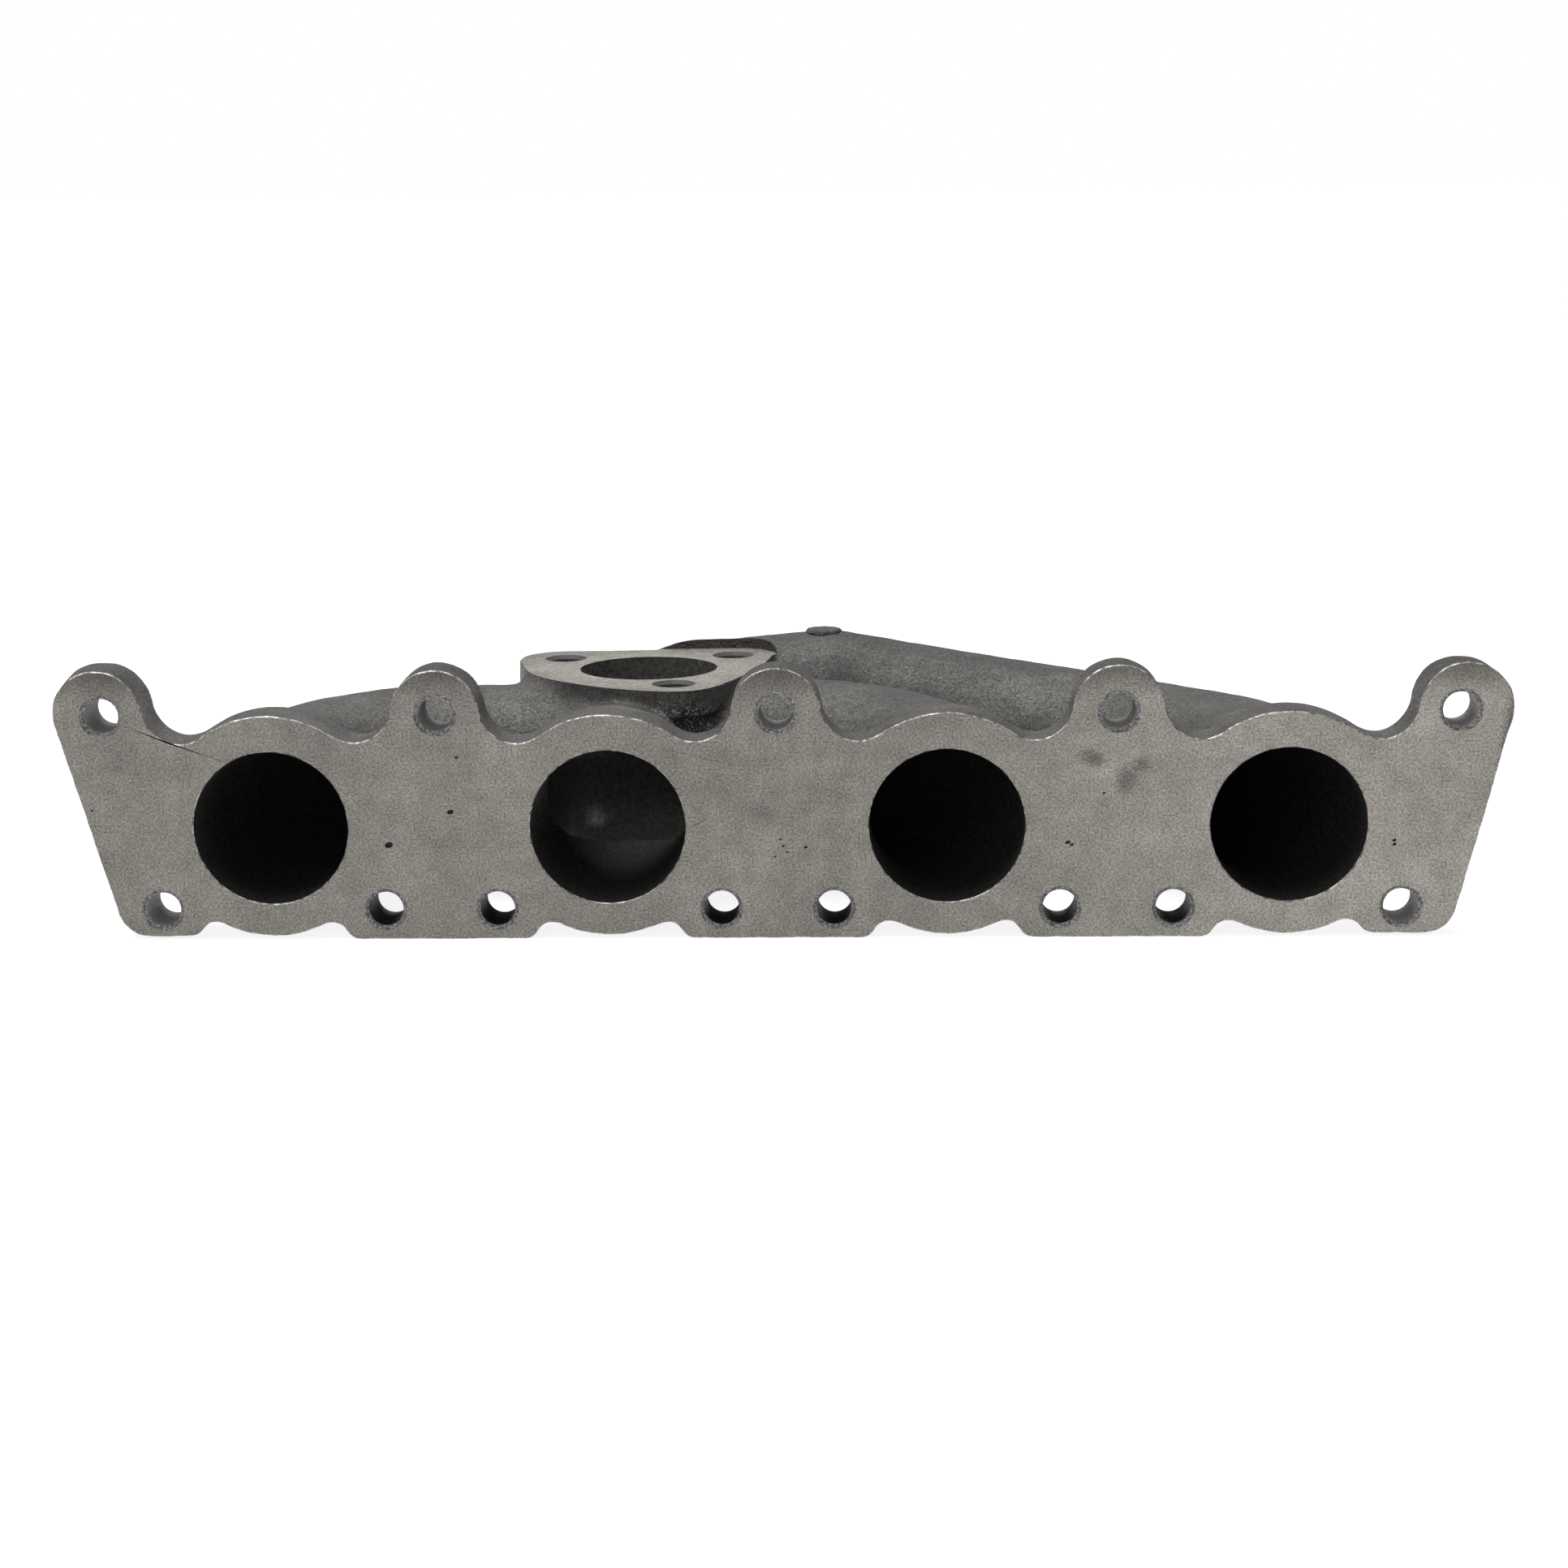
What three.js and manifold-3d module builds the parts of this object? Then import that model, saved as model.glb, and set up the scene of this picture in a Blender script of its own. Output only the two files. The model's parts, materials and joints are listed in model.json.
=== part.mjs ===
// Cast iron exhaust manifold for an in-line four, in millimetres.
// Origin: centre of the machined face that bolts to the cylinder head.
// +X runs along the row of ports, +Y points away from the head, +Z is up.
// The casting is divided where its pattern would be: flanges, runners and collector meet on flat planes.

import * as THREE from 'three';
import { ConvexGeometry } from 'three/addons/geometries/ConvexGeometry.js';
import { mergeVertices } from 'three/addons/utils/BufferGeometryUtils.js';
import Module from 'manifold-3d';

// Head flange
const PORT_PITCH = 88;
const PORT_X = [-1.5, -0.5, 0.5, 1.5].map((n) => n * PORT_PITCH);
const PORT_RADIUS = 20.25;
const HUMP_RADIUS = 29.5;
const BULGE_RADIUS = 28.4;
const UPPER_STUD_X = [-175, -88, 0, 88, 175];
const UPPER_STUD_Z = 29.8;
const EARS = [
  { at: [-175.9, 30.2], r: 11.5 },
  { at: [-88.2, 30], r: 11.6 },
  { at: [0, 30], r: 11.6 },
  { at: [88, 30.2], r: 11.8 },
  { at: [176.5, 30.2], r: 11.9 },
];
const VALLEY_RADIUS = 10;
const NOTCH_RADIUS = 5;
const FLANGE_BOTTOM_Z = -29.8;
const FOOT_RADIUS = 4;
const FOOT_FROM_PORT = 22.5;
const END_FOOT_Z = -28.9;
const END_CORNER_X = [-165.3, 167.6];
const END_CORNER_RADIUS = 8;
const LOWER_STUD_FROM_PORT = 29.35;
const LOWER_STUD_Z = -21.8;
const STUD_HOLE_RADIUS = 4.5;
const STUD_CHAMFER = 1.1;
const FLANGE_MIDDLE_THICKNESS = 14.1;
const FLANGE_TAPER_PER_MM = -0.008;
const FLANGE_MOST_THICKNESS = 16;
const COLLAR_START_Y = 5;
const COLLAR_END_Y = 17;

// Runners
const PIPE_RADIUS_AT_PORT = 26;
const PIPE_RADIUS_AT_COLLECTOR = 23.5;
const BORE_RADIUS_AT_COLLECTOR = 18.5;
const PIPE_SIDES = 24;
const BEND_STEPS = 12;
const BEND_RADIUS = 45;
const BEND_HANDLE = 25;
const RUNNER_1_RISE = 3;
const RUNNER_3_RISE = 4;
const RUNNER_4_END = [12, 109, 10.7];
const RUNNER_4_HANDLES = { lead: 31, trail: 76, dip: 14.5 };
const RUNNER_4_FALL = 3.4;
const PIPE_START_Y = 16;
const SHORT_PIPE_END_Y = 60;
const LEFT_PIPE_END_X = -60;
const RIGHT_PIPES_END_X = -26;
const BEND_BORE_PART = 0.7;
const LONG_BORE_PART = 0.55;
const LONG_STEPS = 18;
const PIPE_GAP = 0.3;

// Collector
const COLLECTOR_LEFT_X = -80;
const COLLECTOR_RIGHT_X = 0;
const COLLECTOR_FRONT_Y = 36;

// Wastegate flange: a rounded triangle facing up
const WASTEGATE_FACE_Z = 29.5;
const WASTEGATE_THICKNESS = 12;
const WASTEGATE_CENTRE = [-38.2, 73];
const WASTEGATE_BORE_RADIUS = 19;
const WASTEGATE_BORE_LENGTH = 60;
const WASTEGATE_BOLTS = [[-63.4, 90.5], [-29.4, 47], [-15.4, 94.9]];
const WASTEGATE_CORNER_RADII = [12.7, 12.8, 11.6];
const WASTEGATE_FRONT_LEFT_RADIUS = 58;
const WASTEGATE_RIGHT_RADIUS = 150;
const WASTEGATE_TAP_RADIUS = 5;
const WASTEGATE_TAP_CHAMFER = 1.1;

// Turbo flange: a rounded rectangle facing down, level with the head flange's lower edge
const TURBO_CENTRE = [-35, 90];
const TURBO_SIZE = [108, 75];
const TURBO_CORNER_RADIUS = 11;
const TURBO_OPENING = [57, 44];
const TURBO_OPENING_RADIUS = 9;
const TURBO_NECK = [70, 58];
const TURBO_NECK_RADIUS = 12;
const TURBO_THICKNESS = 12;
const TURBO_BOLT_SPACING = [84, 49];
const TURBO_TAP_RADIUS = 5;

// Cast pad on runner 4
const PAD_X = 10.5;
const PAD_RADIUS = 5;
const PAD_TOP_Z = 34.9;
const PAD_HEIGHT = 8;

const ARC_ERROR = 0.1;
const DRILL_SIDES = 16;
const DRILL_DEPTH = 30;
const PORT_SIDES = 40;
const BALL_SIDES = 16;
const BALL_RINGS = 10;
const OVERRUN = 5;
const REACH = 400;

const wasm = await Module();
wasm.setup();

// ---- Solids -------------------------------------------------------------------------------------

function solid(geometry) {
  const bare = geometry.clone();
  bare.deleteAttribute('normal');
  bare.deleteAttribute('uv');
  const merged = mergeVertices(bare);
  return new wasm.Manifold(new wasm.Mesh({
    numProp: 3,
    vertProperties: new Float32Array(merged.attributes.position.array),
    triVerts: new Uint32Array(merged.index.array),
  }));
}

function geometryOf(shape) {
  const { vertProperties, triVerts } = shape.getMesh();
  const geometry = new THREE.BufferGeometry();
  geometry.setAttribute('position', new THREE.BufferAttribute(vertProperties, 3));
  geometry.setIndex(new THREE.BufferAttribute(triVerts, 1));
  return geometry;
}

function union(solids) {
  return solids.reduce((whole, next) => whole.add(next));
}

function without(whole, solids) {
  return solids.reduce((left, next) => left.subtract(next), whole);
}

// A box between two corners; a side that isn't given reaches past the whole part.
function box({ x = [-REACH, REACH], y = [-REACH, REACH], z = [-REACH, REACH] }) {
  const sides = [x, y, z];
  const size = sides.map(([low, high]) => high - low);
  const middle = sides.map(([low, high]) => (low + high) / 2);
  return solid(new THREE.BoxGeometry(...size).translate(...middle));
}

// A round bar along Y, centred on the origin.
function rod(radius, length, sides) {
  return new THREE.CylinderGeometry(radius, radius, length, sides);
}

// A round tool along +Y whose mouth, at y = 0, is chamfered.
function drill(radius, chamfer) {
  const profile = [
    [0, -OVERRUN],
    [radius + chamfer + OVERRUN, -OVERRUN],
    [radius, chamfer],
    [radius, DRILL_DEPTH],
    [0, DRILL_DEPTH],
  ];
  return new THREE.LatheGeometry(profile.map(([r, y]) => new THREE.Vector2(r, y)), DRILL_SIDES);
}

// ---- Outlines -----------------------------------------------------------------------------------

// The centre of the circle that touches circles a and b and lies on the right of the way from a to b
// (or on the left, where it is large and holds them both inside).
function touchingCentre(a, b, radius) {
  const fromA = Math.abs(radius + a.r);
  const fromB = Math.abs(radius + b.r);
  const way = b.c.clone().sub(a.c);
  const span = way.length();
  const along = (fromA ** 2 - fromB ** 2 + span ** 2) / (2 * span);
  const aside = Math.sqrt(fromA ** 2 - along ** 2);
  const side = radius > 0 ? new THREE.Vector2(way.y, -way.x) : new THREE.Vector2(-way.y, way.x);
  return a.c.clone().addScaledVector(way, along / span).addScaledVector(side, aside / span);
}

function arcPoints(centre, radius, from, to) {
  const count = Math.max(2, Math.ceil(Math.abs(to - from) / (2 * Math.acos(1 - ARC_ERROR / radius))));
  return Array.from({ length: count + 1 }, (_, i) => {
    const angle = from + (to - from) * i / count;
    return new THREE.Vector2(centre.x + radius * Math.cos(angle), centre.y + radius * Math.sin(angle));
  });
}

// An outline that goes counter-clockwise round a chain of circles. Each circle says how it joins the
// next one: 'line' is their common tangent, a positive number is the radius of a hollow fillet between
// them, and a negative number is the radius of a large arc that bulges out.
function outline(circles) {
  const rounds = circles.map(({ at, r, join }) => ({ c: new THREE.Vector2(...at), r, join }));
  const joints = rounds.map((a, i) => {
    const b = rounds[(i + 1) % rounds.length];
    if (a.join === 'line') {
      const way = b.c.clone().sub(a.c);
      const angle = way.angle() - Math.acos((a.r - b.r) / way.length());
      return { leave: angle, arrive: angle, arc: [] };
    }
    const centre = touchingCentre(a, b, a.join);
    const hollow = a.join > 0;
    const leave = hollow ? centre.clone().sub(a.c).angle() : a.c.clone().sub(centre).angle();
    const arrive = hollow ? centre.clone().sub(b.c).angle() : b.c.clone().sub(centre).angle();
    const start = hollow ? leave + Math.PI : leave;
    let end = hollow ? arrive + Math.PI : arrive;
    while (hollow && end > start) end -= 2 * Math.PI;
    while (!hollow && end < start) end += 2 * Math.PI;
    while (hollow && end < start - 2 * Math.PI) end += 2 * Math.PI;
    return { leave, arrive, arc: arcPoints(centre, Math.abs(a.join), start, end).slice(1, -1) };
  });
  return rounds.flatMap(({ c, r }, i) => {
    const from = joints[(i + rounds.length - 1) % rounds.length].arrive;
    let to = joints[i].leave;
    while (to < from) to += 2 * Math.PI;
    while (to > from + 2 * Math.PI) to -= 2 * Math.PI;
    return [...arcPoints(c, r, from, to), ...joints[i].arc];
  });
}

function roundedRectangle([width, depth], radius) {
  const x = width / 2 - radius;
  const y = depth / 2 - radius;
  return outline([[x, y], [-x, y], [-x, -y], [x, -y]].map((at) => ({ at, r: radius, join: 'line' })));
}

// A plate between two heights whose outline lies in the X-Y plane.
function plate(points, low, high) {
  const shape = new THREE.Shape(points);
  const geometry = new THREE.ExtrudeGeometry(shape, { depth: high - low, bevelEnabled: false });
  return geometry.translate(0, 0, low);
}

// ---- Pipes --------------------------------------------------------------------------------------

// A closed round bar along a curve, whose radius changes evenly from the curve's start to its end.
function bar(curve, startRadius, endRadius, steps) {
  const rings = Array.from({ length: steps + 1 }, (_, i) => new THREE.Vector2(1, i / steps));
  const profile = [new THREE.Vector2(0, 0), ...rings, new THREE.Vector2(0, 1)];
  const geometry = new THREE.LatheGeometry(profile, PIPE_SIDES);
  const frames = curve.computeFrenetFrames(steps, false);
  const place = geometry.attributes.position;
  for (let i = 0; i < place.count; i += 1) {
    const ring = Math.round(place.getY(i) * steps);
    const radius = THREE.MathUtils.lerp(startRadius, endRadius, ring / steps);
    const point = curve.getPointAt(ring / steps)
      .addScaledVector(frames.normals[ring], place.getX(i) * radius)
      .addScaledVector(frames.binormals[ring], -place.getZ(i) * radius);
    place.setXYZ(i, point.x, point.y, point.z);
  }
  return solid(geometry);
}

// A Bezier curve through four points that then runs straight on along a way for a part of its length.
function route(bends, way, part) {
  const points = bends.map((p) => new THREE.Vector3(...p));
  const curve = new THREE.CurvePath();
  curve.add(new THREE.CubicBezierCurve3(...points));
  curve.add(new THREE.LineCurve3(points[3], points[3].clone().addScaledVector(way, part)));
  return curve;
}

// A pipe's outside, made larger by a margin, and its bore, which stops sooner.
function pipe(bends, end, borePart, steps, margin = 0) {
  const way = new THREE.Vector3(...end).sub(new THREE.Vector3(...bends[3]));
  const widest = PIPE_RADIUS_AT_PORT + margin;
  const narrowest = PIPE_RADIUS_AT_COLLECTOR + margin;
  return {
    outside: bar(route(bends, way, 1), widest, narrowest, steps),
    inside: bar(route(bends, way, borePart), PORT_RADIUS, BORE_RADIUS_AT_COLLECTOR, steps),
  };
}

// A quarter bend from a port: side is +1 where it turns to +X and -1 where it turns to -X.
function bend(portX, side, rise, endX) {
  const turnedX = portX + side * BEND_RADIUS;
  const turnedY = COLLAR_END_Y + BEND_RADIUS;
  const bends = [
    [portX, PIPE_START_Y, 0],
    [portX, COLLAR_END_Y + BEND_HANDLE, 0],
    [turnedX - side * BEND_HANDLE, turnedY, rise],
    [turnedX, turnedY, rise],
  ];
  return pipe(bends, [endX, turnedY, rise], BEND_BORE_PART, BEND_STEPS);
}

// Runner 4 sweeps over the back of runner 3.
function longRunner(margin) {
  const [x, y, z] = RUNNER_4_END;
  const { lead, trail, dip } = RUNNER_4_HANDLES;
  const bends = [
    [PORT_X[3], PIPE_START_Y, 0],
    [PORT_X[3], COLLAR_END_Y + lead, 0],
    [x + trail, y, z - dip],
    RUNNER_4_END,
  ];
  return pipe(
    bends,
    [RIGHT_PIPES_END_X, y - 1, z - RUNNER_4_FALL],
    LONG_BORE_PART,
    LONG_STEPS,
    margin,
  );
}

const runner1 = bend(PORT_X[0], 1, RUNNER_1_RISE, LEFT_PIPE_END_X);
const runner3 = bend(PORT_X[2], -1, RUNNER_3_RISE, RIGHT_PIPES_END_X);
const runner4 = longRunner(0);
const runner2 = Object.fromEntries(Object.entries({ outside: PIPE_RADIUS_AT_PORT, inside: PORT_RADIUS })
  .map(([side, radius]) => {
    const middle = (PIPE_START_Y + SHORT_PIPE_END_Y) / 2;
    const length = SHORT_PIPE_END_Y - PIPE_START_Y;
    return [side, solid(rod(radius, length, PIPE_SIDES).translate(PORT_X[1], middle, 0))];
  }));

// ---- Collector ----------------------------------------------------------------------------------

// The collector's outside and its chamber are hulls of balls and of an outline over the turbo flange.
const OUTER_BALLS = [
  { at: [-58, 62, 3], r: 23.5 },
  { at: [-44, 52, 1], r: 24.5 },
  { at: [-26, 64, 4], r: 23.5 },
  { at: [-26, 107, 6.8], r: 23.5 },
  { at: [-46, 98, 2.5], r: 23.5 },
  { at: [-56, 88, 2], r: 23 },
];
const CHAMBER_BALLS = [
  { at: [-56, 64, 1], r: 17 },
  { at: [-44, 52, 0], r: 19.5 },
  { at: [-26, 66, 1], r: 17 },
  { at: [-11, 103, 3], r: 15 },
  { at: [-25, 99, 1.5], r: 16.5 },
  { at: [-44, 94, 1], r: 17 },
];

function hull(balls, foot) {
  const points = balls.flatMap(({ at, r }) => {
    const ball = new THREE.SphereGeometry(r, BALL_SIDES, BALL_RINGS).translate(...at);
    const place = ball.attributes.position;
    return Array.from({ length: place.count }, (_, i) => new THREE.Vector3().fromBufferAttribute(place, i));
  });
  const [x, y] = TURBO_CENTRE;
  const z = FLANGE_BOTTOM_Z + TURBO_THICKNESS - 1;
  const corners = foot.map((p) => new THREE.Vector3(p.x + x, p.y + y, z));
  return solid(new ConvexGeometry([...points, ...corners]));
}

const collectorOutside = hull(OUTER_BALLS, roundedRectangle(TURBO_NECK, TURBO_NECK_RADIUS));
const chamber = hull(CHAMBER_BALLS, roundedRectangle(TURBO_OPENING, TURBO_OPENING_RADIUS));

// ---- Flanges ------------------------------------------------------------------------------------

// The head flange's outline in X and Z, from its lower right corner round over the top.
function headFlangeOutline() {
  const top = [...EARS].reverse().flatMap((ear, i) => {
    if (i === EARS.length - 1) {
      return [{ ...ear, join: 'line' }];
    }
    return [
      { ...ear, join: VALLEY_RADIUS },
      { at: [PORT_X[PORT_X.length - 1 - i], 0], r: HUMP_RADIUS, join: VALLEY_RADIUS },
    ];
  });
  const bottom = PORT_X.flatMap((x, i) => {
    const leftFoot = i === 0 ? END_FOOT_Z : FLANGE_BOTTOM_Z;
    const rightFoot = i === PORT_X.length - 1 ? END_FOOT_Z : FLANGE_BOTTOM_Z;
    return [
      { at: [x - FOOT_FROM_PORT, leftFoot + FOOT_RADIUS], r: FOOT_RADIUS, join: NOTCH_RADIUS },
      { at: [x, 0], r: BULGE_RADIUS, join: NOTCH_RADIUS },
      { at: [x + FOOT_FROM_PORT, rightFoot + FOOT_RADIUS], r: FOOT_RADIUS, join: 'line' },
    ];
  });
  const corners = END_CORNER_X.map((x) => (
    { at: [x, END_FOOT_Z + END_CORNER_RADIUS], r: END_CORNER_RADIUS, join: 'line' }
  ));
  return outline([corners[1], ...top, corners[0], ...bottom]);
}

function headFlange() {
  const flat = plate(headFlangeOutline(), 0, FLANGE_MOST_THICKNESS);
  flat.rotateX(Math.PI / 2).translate(0, FLANGE_MOST_THICKNESS, 0);
  const place = flat.attributes.position;
  for (let i = 0; i < place.count; i += 1) {
    const isRear = place.getY(i) > FLANGE_MOST_THICKNESS / 2;
    place.setY(i, isRear ? FLANGE_MIDDLE_THICKNESS + FLANGE_TAPER_PER_MM * place.getX(i) : 0);
  }
  const collars = PORT_X.map((x) => solid(rod(
    PIPE_RADIUS_AT_PORT,
    COLLAR_END_Y - COLLAR_START_Y,
    PIPE_SIDES,
  ).translate(x, (COLLAR_END_Y + COLLAR_START_Y) / 2, 0)));
  const ports = PORT_X.map((x) => solid(rod(PORT_RADIUS, REACH, PORT_SIDES).translate(x, 0, 0)));
  const studs = [
    ...UPPER_STUD_X.map((x) => [x, UPPER_STUD_Z]),
    ...PORT_X.flatMap((x) => [
      [x - LOWER_STUD_FROM_PORT, LOWER_STUD_Z],
      [x + LOWER_STUD_FROM_PORT, LOWER_STUD_Z],
    ]),
  ];
  const holes = studs.map(([x, z]) => solid(drill(STUD_HOLE_RADIUS, STUD_CHAMFER).translate(x, 0, z)));
  return without(union([solid(flat), ...collars]), [...ports, ...holes]);
}

function wastegateOutline(margin) {
  const joins = [-WASTEGATE_FRONT_LEFT_RADIUS - margin, -WASTEGATE_RIGHT_RADIUS - margin, 'line'];
  return outline(WASTEGATE_BOLTS.map((at, i) => ({
    at,
    r: WASTEGATE_CORNER_RADII[i] + margin,
    join: joins[i],
  })));
}

function tap(radius, chamfer, x, y, z, up) {
  const tool = drill(radius, chamfer).rotateX(up ? -Math.PI / 2 : Math.PI / 2);
  return solid(tool.translate(x, y, z));
}

const wastegateLow = WASTEGATE_FACE_Z - WASTEGATE_THICKNESS;
const wastegateBore = solid(
  rod(WASTEGATE_BORE_RADIUS, WASTEGATE_BORE_LENGTH, PORT_SIDES)
    .rotateX(Math.PI / 2).translate(...WASTEGATE_CENTRE, WASTEGATE_FACE_Z),
);
const wastegateRoom = solid(plate(wastegateOutline(PIPE_GAP), wastegateLow, REACH));

const turboTop = FLANGE_BOTTOM_Z + TURBO_THICKNESS;
const [turboX, turboY] = TURBO_CENTRE;
const turboRoom = box({
  x: [turboX - TURBO_SIZE[0] / 2, turboX + TURBO_SIZE[0] / 2],
  y: [turboY - TURBO_SIZE[1] / 2, turboY + TURBO_SIZE[1] / 2],
  z: [-REACH, turboTop],
});
const turboOpening = solid(
  plate(roundedRectangle(TURBO_OPENING, TURBO_OPENING_RADIUS), -REACH, 0).translate(turboX, turboY, 0),
);
const turboTaps = [-0.5, 0.5].flatMap((i) => [-0.5, 0.5].map((j) => tap(
  TURBO_TAP_RADIUS,
  STUD_CHAMFER,
  turboX + i * TURBO_BOLT_SPACING[0],
  turboY + j * TURBO_BOLT_SPACING[1],
  FLANGE_BOTTOM_Z,
  false,
)));
const wastegateTaps = WASTEGATE_BOLTS.map(([x, y]) => tap(
  WASTEGATE_TAP_RADIUS,
  WASTEGATE_TAP_CHAMFER,
  x,
  y,
  WASTEGATE_FACE_Z,
  true,
));

// ---- Division of the casting --------------------------------------------------------------------

const passages = union([
  runner1.inside,
  runner2.inside,
  runner3.inside,
  runner4.inside,
  chamber,
  wastegateBore,
  turboOpening,
]);
const behindFlange = box({ y: [COLLAR_END_Y, REACH] });
const collectorSpan = box({ x: [COLLECTOR_LEFT_X, COLLECTOR_RIGHT_X], y: [COLLECTOR_FRONT_Y, REACH] });
const runner2Span = box({
  x: [COLLECTOR_LEFT_X, COLLECTOR_RIGHT_X],
  y: [COLLAR_END_Y, COLLECTOR_FRONT_Y],
});
const leftOfCollector = box({ x: [-REACH, COLLECTOR_LEFT_X] });
const rightOfCollector = box({ x: [COLLECTOR_RIGHT_X, REACH] });

const collectorWhole = union([
  runner1.outside,
  runner2.outside,
  runner3.outside,
  runner4.outside,
  collectorOutside,
]);

// The outer body of runner 4 with a little room round it, for its neighbours to stop short of.
const runner4Clearance = longRunner(PIPE_GAP).outside;

const pad = without(
  solid(
    rod(PAD_RADIUS, PAD_HEIGHT, DRILL_SIDES)
      .rotateX(Math.PI / 2).translate(PAD_X, RUNNER_4_END[1], PAD_TOP_Z - PAD_HEIGHT / 2),
  ),
  [runner4Clearance],
);

const iron = new THREE.MeshStandardMaterial({ color: '#6b6965', roughness: 0.75, metalness: 0.6 });
const milled = new THREE.MeshStandardMaterial({ color: '#86827b', roughness: 0.5, metalness: 0.8 });

function named(name, shape, material) {
  const mesh = new THREE.Mesh(geometryOf(shape), material.clone());
  mesh.name = name;
  return mesh;
}

const manifold = new THREE.Group();
manifold.add(
  named('head_flange', headFlange(), milled),
  named(
    'runner_1',
    without(
      runner1.outside.intersect(behindFlange).intersect(leftOfCollector),
      [passages, turboRoom],
    ),
    iron,
  ),
  named('runner_2', without(runner2.outside.intersect(runner2Span), [passages, wastegateRoom]), iron),
  named(
    'runner_3',
    without(
      runner3.outside.intersect(behindFlange).intersect(rightOfCollector),
      [passages, runner4Clearance, turboRoom],
    ),
    iron,
  ),
  named(
    'runner_4',
    without(
      runner4.outside.intersect(behindFlange).intersect(rightOfCollector),
      [passages, turboRoom],
    ),
    iron,
  ),
  named(
    'collector',
    without(collectorWhole.intersect(collectorSpan), [passages, wastegateRoom, turboRoom]),
    iron,
  ),
  named(
    'wastegate_flange',
    without(
      solid(plate(wastegateOutline(0), wastegateLow, WASTEGATE_FACE_Z)),
      [passages, ...wastegateTaps],
    ),
    milled,
  ),
  named(
    'turbo_flange',
    without(
      solid(plate(roundedRectangle(TURBO_SIZE, TURBO_CORNER_RADIUS), FLANGE_BOTTOM_Z, turboTop)
        .translate(turboX, turboY, 0)),
      [passages, ...turboTaps],
    ),
    milled,
  ),
  named('runner_pad', pad, iron),
);

export default manifold;
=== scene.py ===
"""A cast iron exhaust manifold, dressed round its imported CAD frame.

The casting is one smooth distance field in millimetres: flanges, pipes and collector melt into each
other with real fillets, and the gas passages are cut out of it. The field becomes a fine mesh, whose
faces and holes are then machined with exact cuts. Last, the casting is divided on the CAD's own planes.
"""
import json
import math

import bmesh
import bpy
import numpy as np
from mathutils import Euler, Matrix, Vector


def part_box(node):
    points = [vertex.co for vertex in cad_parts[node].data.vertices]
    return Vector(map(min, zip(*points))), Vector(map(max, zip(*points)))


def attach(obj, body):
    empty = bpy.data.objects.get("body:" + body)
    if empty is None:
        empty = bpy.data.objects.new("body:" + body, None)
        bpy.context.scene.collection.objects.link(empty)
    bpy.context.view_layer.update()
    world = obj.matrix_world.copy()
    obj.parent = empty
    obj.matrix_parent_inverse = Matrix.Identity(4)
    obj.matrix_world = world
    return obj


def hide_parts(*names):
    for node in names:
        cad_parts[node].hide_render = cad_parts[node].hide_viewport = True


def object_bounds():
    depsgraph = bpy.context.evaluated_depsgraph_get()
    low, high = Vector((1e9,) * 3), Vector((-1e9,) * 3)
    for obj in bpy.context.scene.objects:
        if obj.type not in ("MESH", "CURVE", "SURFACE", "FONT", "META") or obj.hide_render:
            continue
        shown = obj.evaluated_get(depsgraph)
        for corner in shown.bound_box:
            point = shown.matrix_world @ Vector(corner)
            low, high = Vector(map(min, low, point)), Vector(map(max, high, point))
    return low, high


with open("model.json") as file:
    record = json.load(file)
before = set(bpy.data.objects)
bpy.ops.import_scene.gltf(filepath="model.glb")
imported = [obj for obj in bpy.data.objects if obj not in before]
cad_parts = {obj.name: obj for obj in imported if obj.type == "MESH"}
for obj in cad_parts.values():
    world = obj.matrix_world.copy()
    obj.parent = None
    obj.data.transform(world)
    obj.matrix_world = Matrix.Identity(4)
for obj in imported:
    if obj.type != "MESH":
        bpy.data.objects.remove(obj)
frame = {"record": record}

MM = 0.001
CAD_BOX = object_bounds()

# ---- Places read from the frame, in millimetres ---------------------------------------------------

OPENINGS = {o["name"]: np.array(o["box_m"]) / MM for o in frame["record"]["physics"]["openings"]}


def middle(opening):
    return OPENINGS[opening].mean(0)


def corners(node):
    return [np.array(corner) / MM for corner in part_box(node)]


PORT_X = [middle(f"port_{n}")[0] for n in (1, 2, 3, 4)]
UPPER_STUDS = [middle(f"upper_stud_hole_{n}") for n in range(1, 6)]
LOWER_STUDS = [middle(f"lower_stud_hole_{n}") for n in range(1, 9)]
WASTEGATE_BOLTS = [middle(f"wastegate_bolt_hole_{side}") for side in ("left", "front", "right")]
WASTEGATE_X, WASTEGATE_Y = middle("wastegate_port")[:2]
TURBO_BOLTS = [middle(f"turbo_bolt_hole_{n}") for n in (1, 2, 3, 4)]
TURBO_LOW, TURBO_HIGH = corners("turbo_flange")
TURBO_X, TURBO_Y = middle("turbo_opening")[:2]
COLLECTOR_LOW, COLLECTOR_HIGH = corners("collector")
COLLAR_END_Y = corners("head_flange")[1][1]
WASTEGATE_LOW, WASTEGATE_HIGH = corners("wastegate_flange")
WASTEGATE_FACE_Z = WASTEGATE_HIGH[2]
BOTTOM_Z = TURBO_LOW[2]
PAD_LOW, PAD_HIGH = corners("runner_pad")

# ---- Sizes of the casting, in millimetres ---------------------------------------------------------

STEP = 0.85
MARGIN = 3.5
FAR = 30.0
REACH = 9.0
BEYOND = 300
LAST_CELL = 1.001
ON_LEVEL = 0.001

PORT_RADIUS = 20.25
HUMP_RADIUS = 29.5
BULGE_RADIUS = 28.4
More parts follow.
